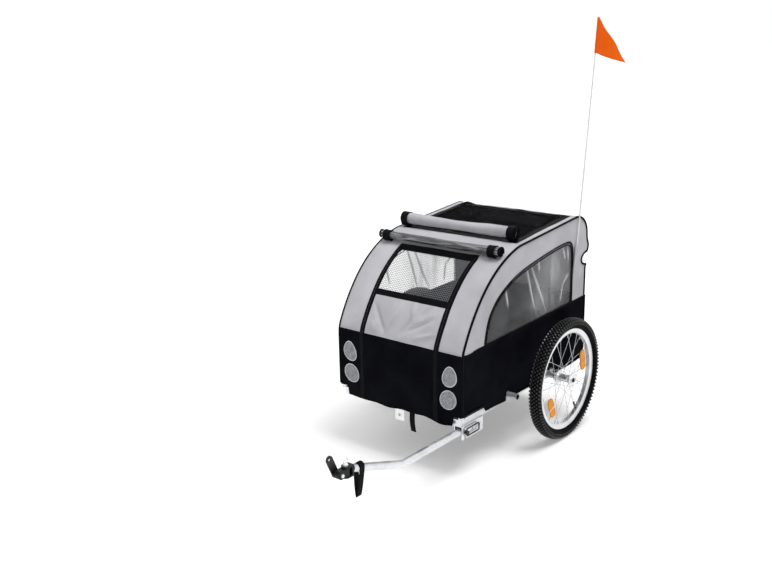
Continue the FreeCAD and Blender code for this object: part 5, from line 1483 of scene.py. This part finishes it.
def make_wheels():
    """Tyres with rows of blocks, spoke nipples, hub buttons and moulded reflectors."""
    profile = [(radius, -y) for radius, y in TYRE_HALF] + [TYRE_TOP] + TYRE_HALF[::-1]
    nipple = block_shape("spoke_nipple", 4.0, 4.0, 13, 1.0, taper=0.85)
    for side, sign in SIDES:
        body = f"{side}_wheel"
        # The carcass takes the rubber darkened as painted shade, and the blocks take it lightened as painted
        # light.
        carcass = revolve_mesh(f"{side}_tyre_carcass", profile, sign, 144)
        new_piece(f"{side}_tyre_carcass", carcass, ["shaded_rubber"], body, [f"{side}_tyre"])
        lugs = []
        for number, (out, radius, tilt, length, width, height) in enumerate(TREAD):
            for way in (1, -1):
                lug = block_shape("tread_block", length, width, height, 0.7, tilt * way)
                start = 2 * math.pi / BLOCKS / 2 if (number % 2 == 0) == (way > 0) else 0
                lugs.append(ring_row("tread", sign, radius, way * out, start, BLOCKS, lug, "tread"))
                bpy.data.objects.remove(lug)
        name = f"{side}_tread_blocks"
        new_piece(name, join_meshes(name, lugs), ["tread"], body)
        heads = []
        for first, y in NIPPLES:
            start = 2 * math.pi * first / SPOKES
            count = SPOKES // len(NIPPLES)
            heads.append(ring_row("nipples", sign, NIPPLE_R, y, start, count, nipple, "wire", inwards=True))
        name = f"{side}_spoke_nipples"
        new_piece(name, join_meshes(name, heads), ["wire"], body)
        name = f"{side}_hub_button"
        button = [(radius, sign * HUB_END + sign * y) for radius, y in BUTTON]
        new_piece(name, revolve_mesh(name, button, sign, 32), ["nylon"], body)
        make_reflectors(side, sign)
    bpy.data.objects.remove(nipple)


def make_reflectors(side, sign):
    """Amber reflectors between the spokes: a raised rim round a dished prism face, both sides."""
    points, faces = [], []
    half, radius, sides = 27.0, 19.0, 40
    # From the outer edge to the middle: share of the width, height over the spokes.
    rings = [(1.0, 0.0), (1.0, 2.2), (0.94, 3.2), (0.84, 3.2), (0.78, 2.3), (0.45, 2.7), (0.0, 2.8)]
    for seat, angle, lean in REFLECTORS:
        turn, own = math.radians(angle), math.radians(angle + lean)
        for face in (1, -1):
            faces += ring_faces(len(points), len(rings), sides)
            for share, lift in rings:
                for k in range(sides):
                    t = 2 * math.pi * k / sides
                    end = half * (1 if math.sin(t) > 0 else -1) * (share if share < 0.5 else 1)
                    along = end + radius * share * math.sin(t)
                    across = radius * math.cos(t) * share
                    x = seat * math.cos(turn) + across * math.cos(own) - along * math.sin(own)
                    z = WHEEL_R + seat * math.sin(turn) + across * math.sin(own) + along * math.cos(own)
                    points.append(at(x, sign * TRACK + face * lift, z))
    mesh = new_mesh(f"{side}_reflectors", points, faces)
    close_mesh(mesh, 5e-6)
    nodes = [f"{side}_spoke_reflectors"]
    new_piece(f"{side}_reflectors", mesh, ["amber"], f"{side}_wheel", nodes)


# The frame's own pieces

BARE = {
    "steel": [
        "left_side_rail", "right_side_rail", "end_rails", "axle_tube", "front_cross_tube", "left_hoop",
        "right_hoop", "hoop_spigots", "roof_crossbars", "tow_bracket", "front_plate", "tow_bar_tube",
        "stub_axles", "left_lock_knob", "right_lock_knob", "pivot_bolt", "arm_bolt", "hitch_pin",
    ],
    "alloy": ["left_rim", "right_rim", "left_hub", "right_hub"],
    "wire": ["left_spokes", "right_spokes"],
    "nylon": ["axle_bushes", "bar_clevis", "coupler", "pin_bail", "left_valve", "right_valve"],
    "coated": ["hitch_arm", "lock_pin"],
    "rod": ["flag_pole"],
    "board": ["floor_board"],
}


def finish_bare_parts():
    """The finish of every solid of the frame that stays in sight."""
    for finish, nodes in BARE.items():
        for node in nodes:
            slots = NODES[node].material_slots
            for slot in slots:
                slot.material = FINISH[finish]
            if not slots:
                NODES[node].data.materials.append(FINISH[finish])


set_camera()
light_studio()
finish_bare_parts()
make_front()
make_door()
make_zips()
make_roof()
make_sides()
make_rear()
make_trim()
make_rolls()
make_patches()
make_straps()
make_pocket()
make_flag()
make_wheels()
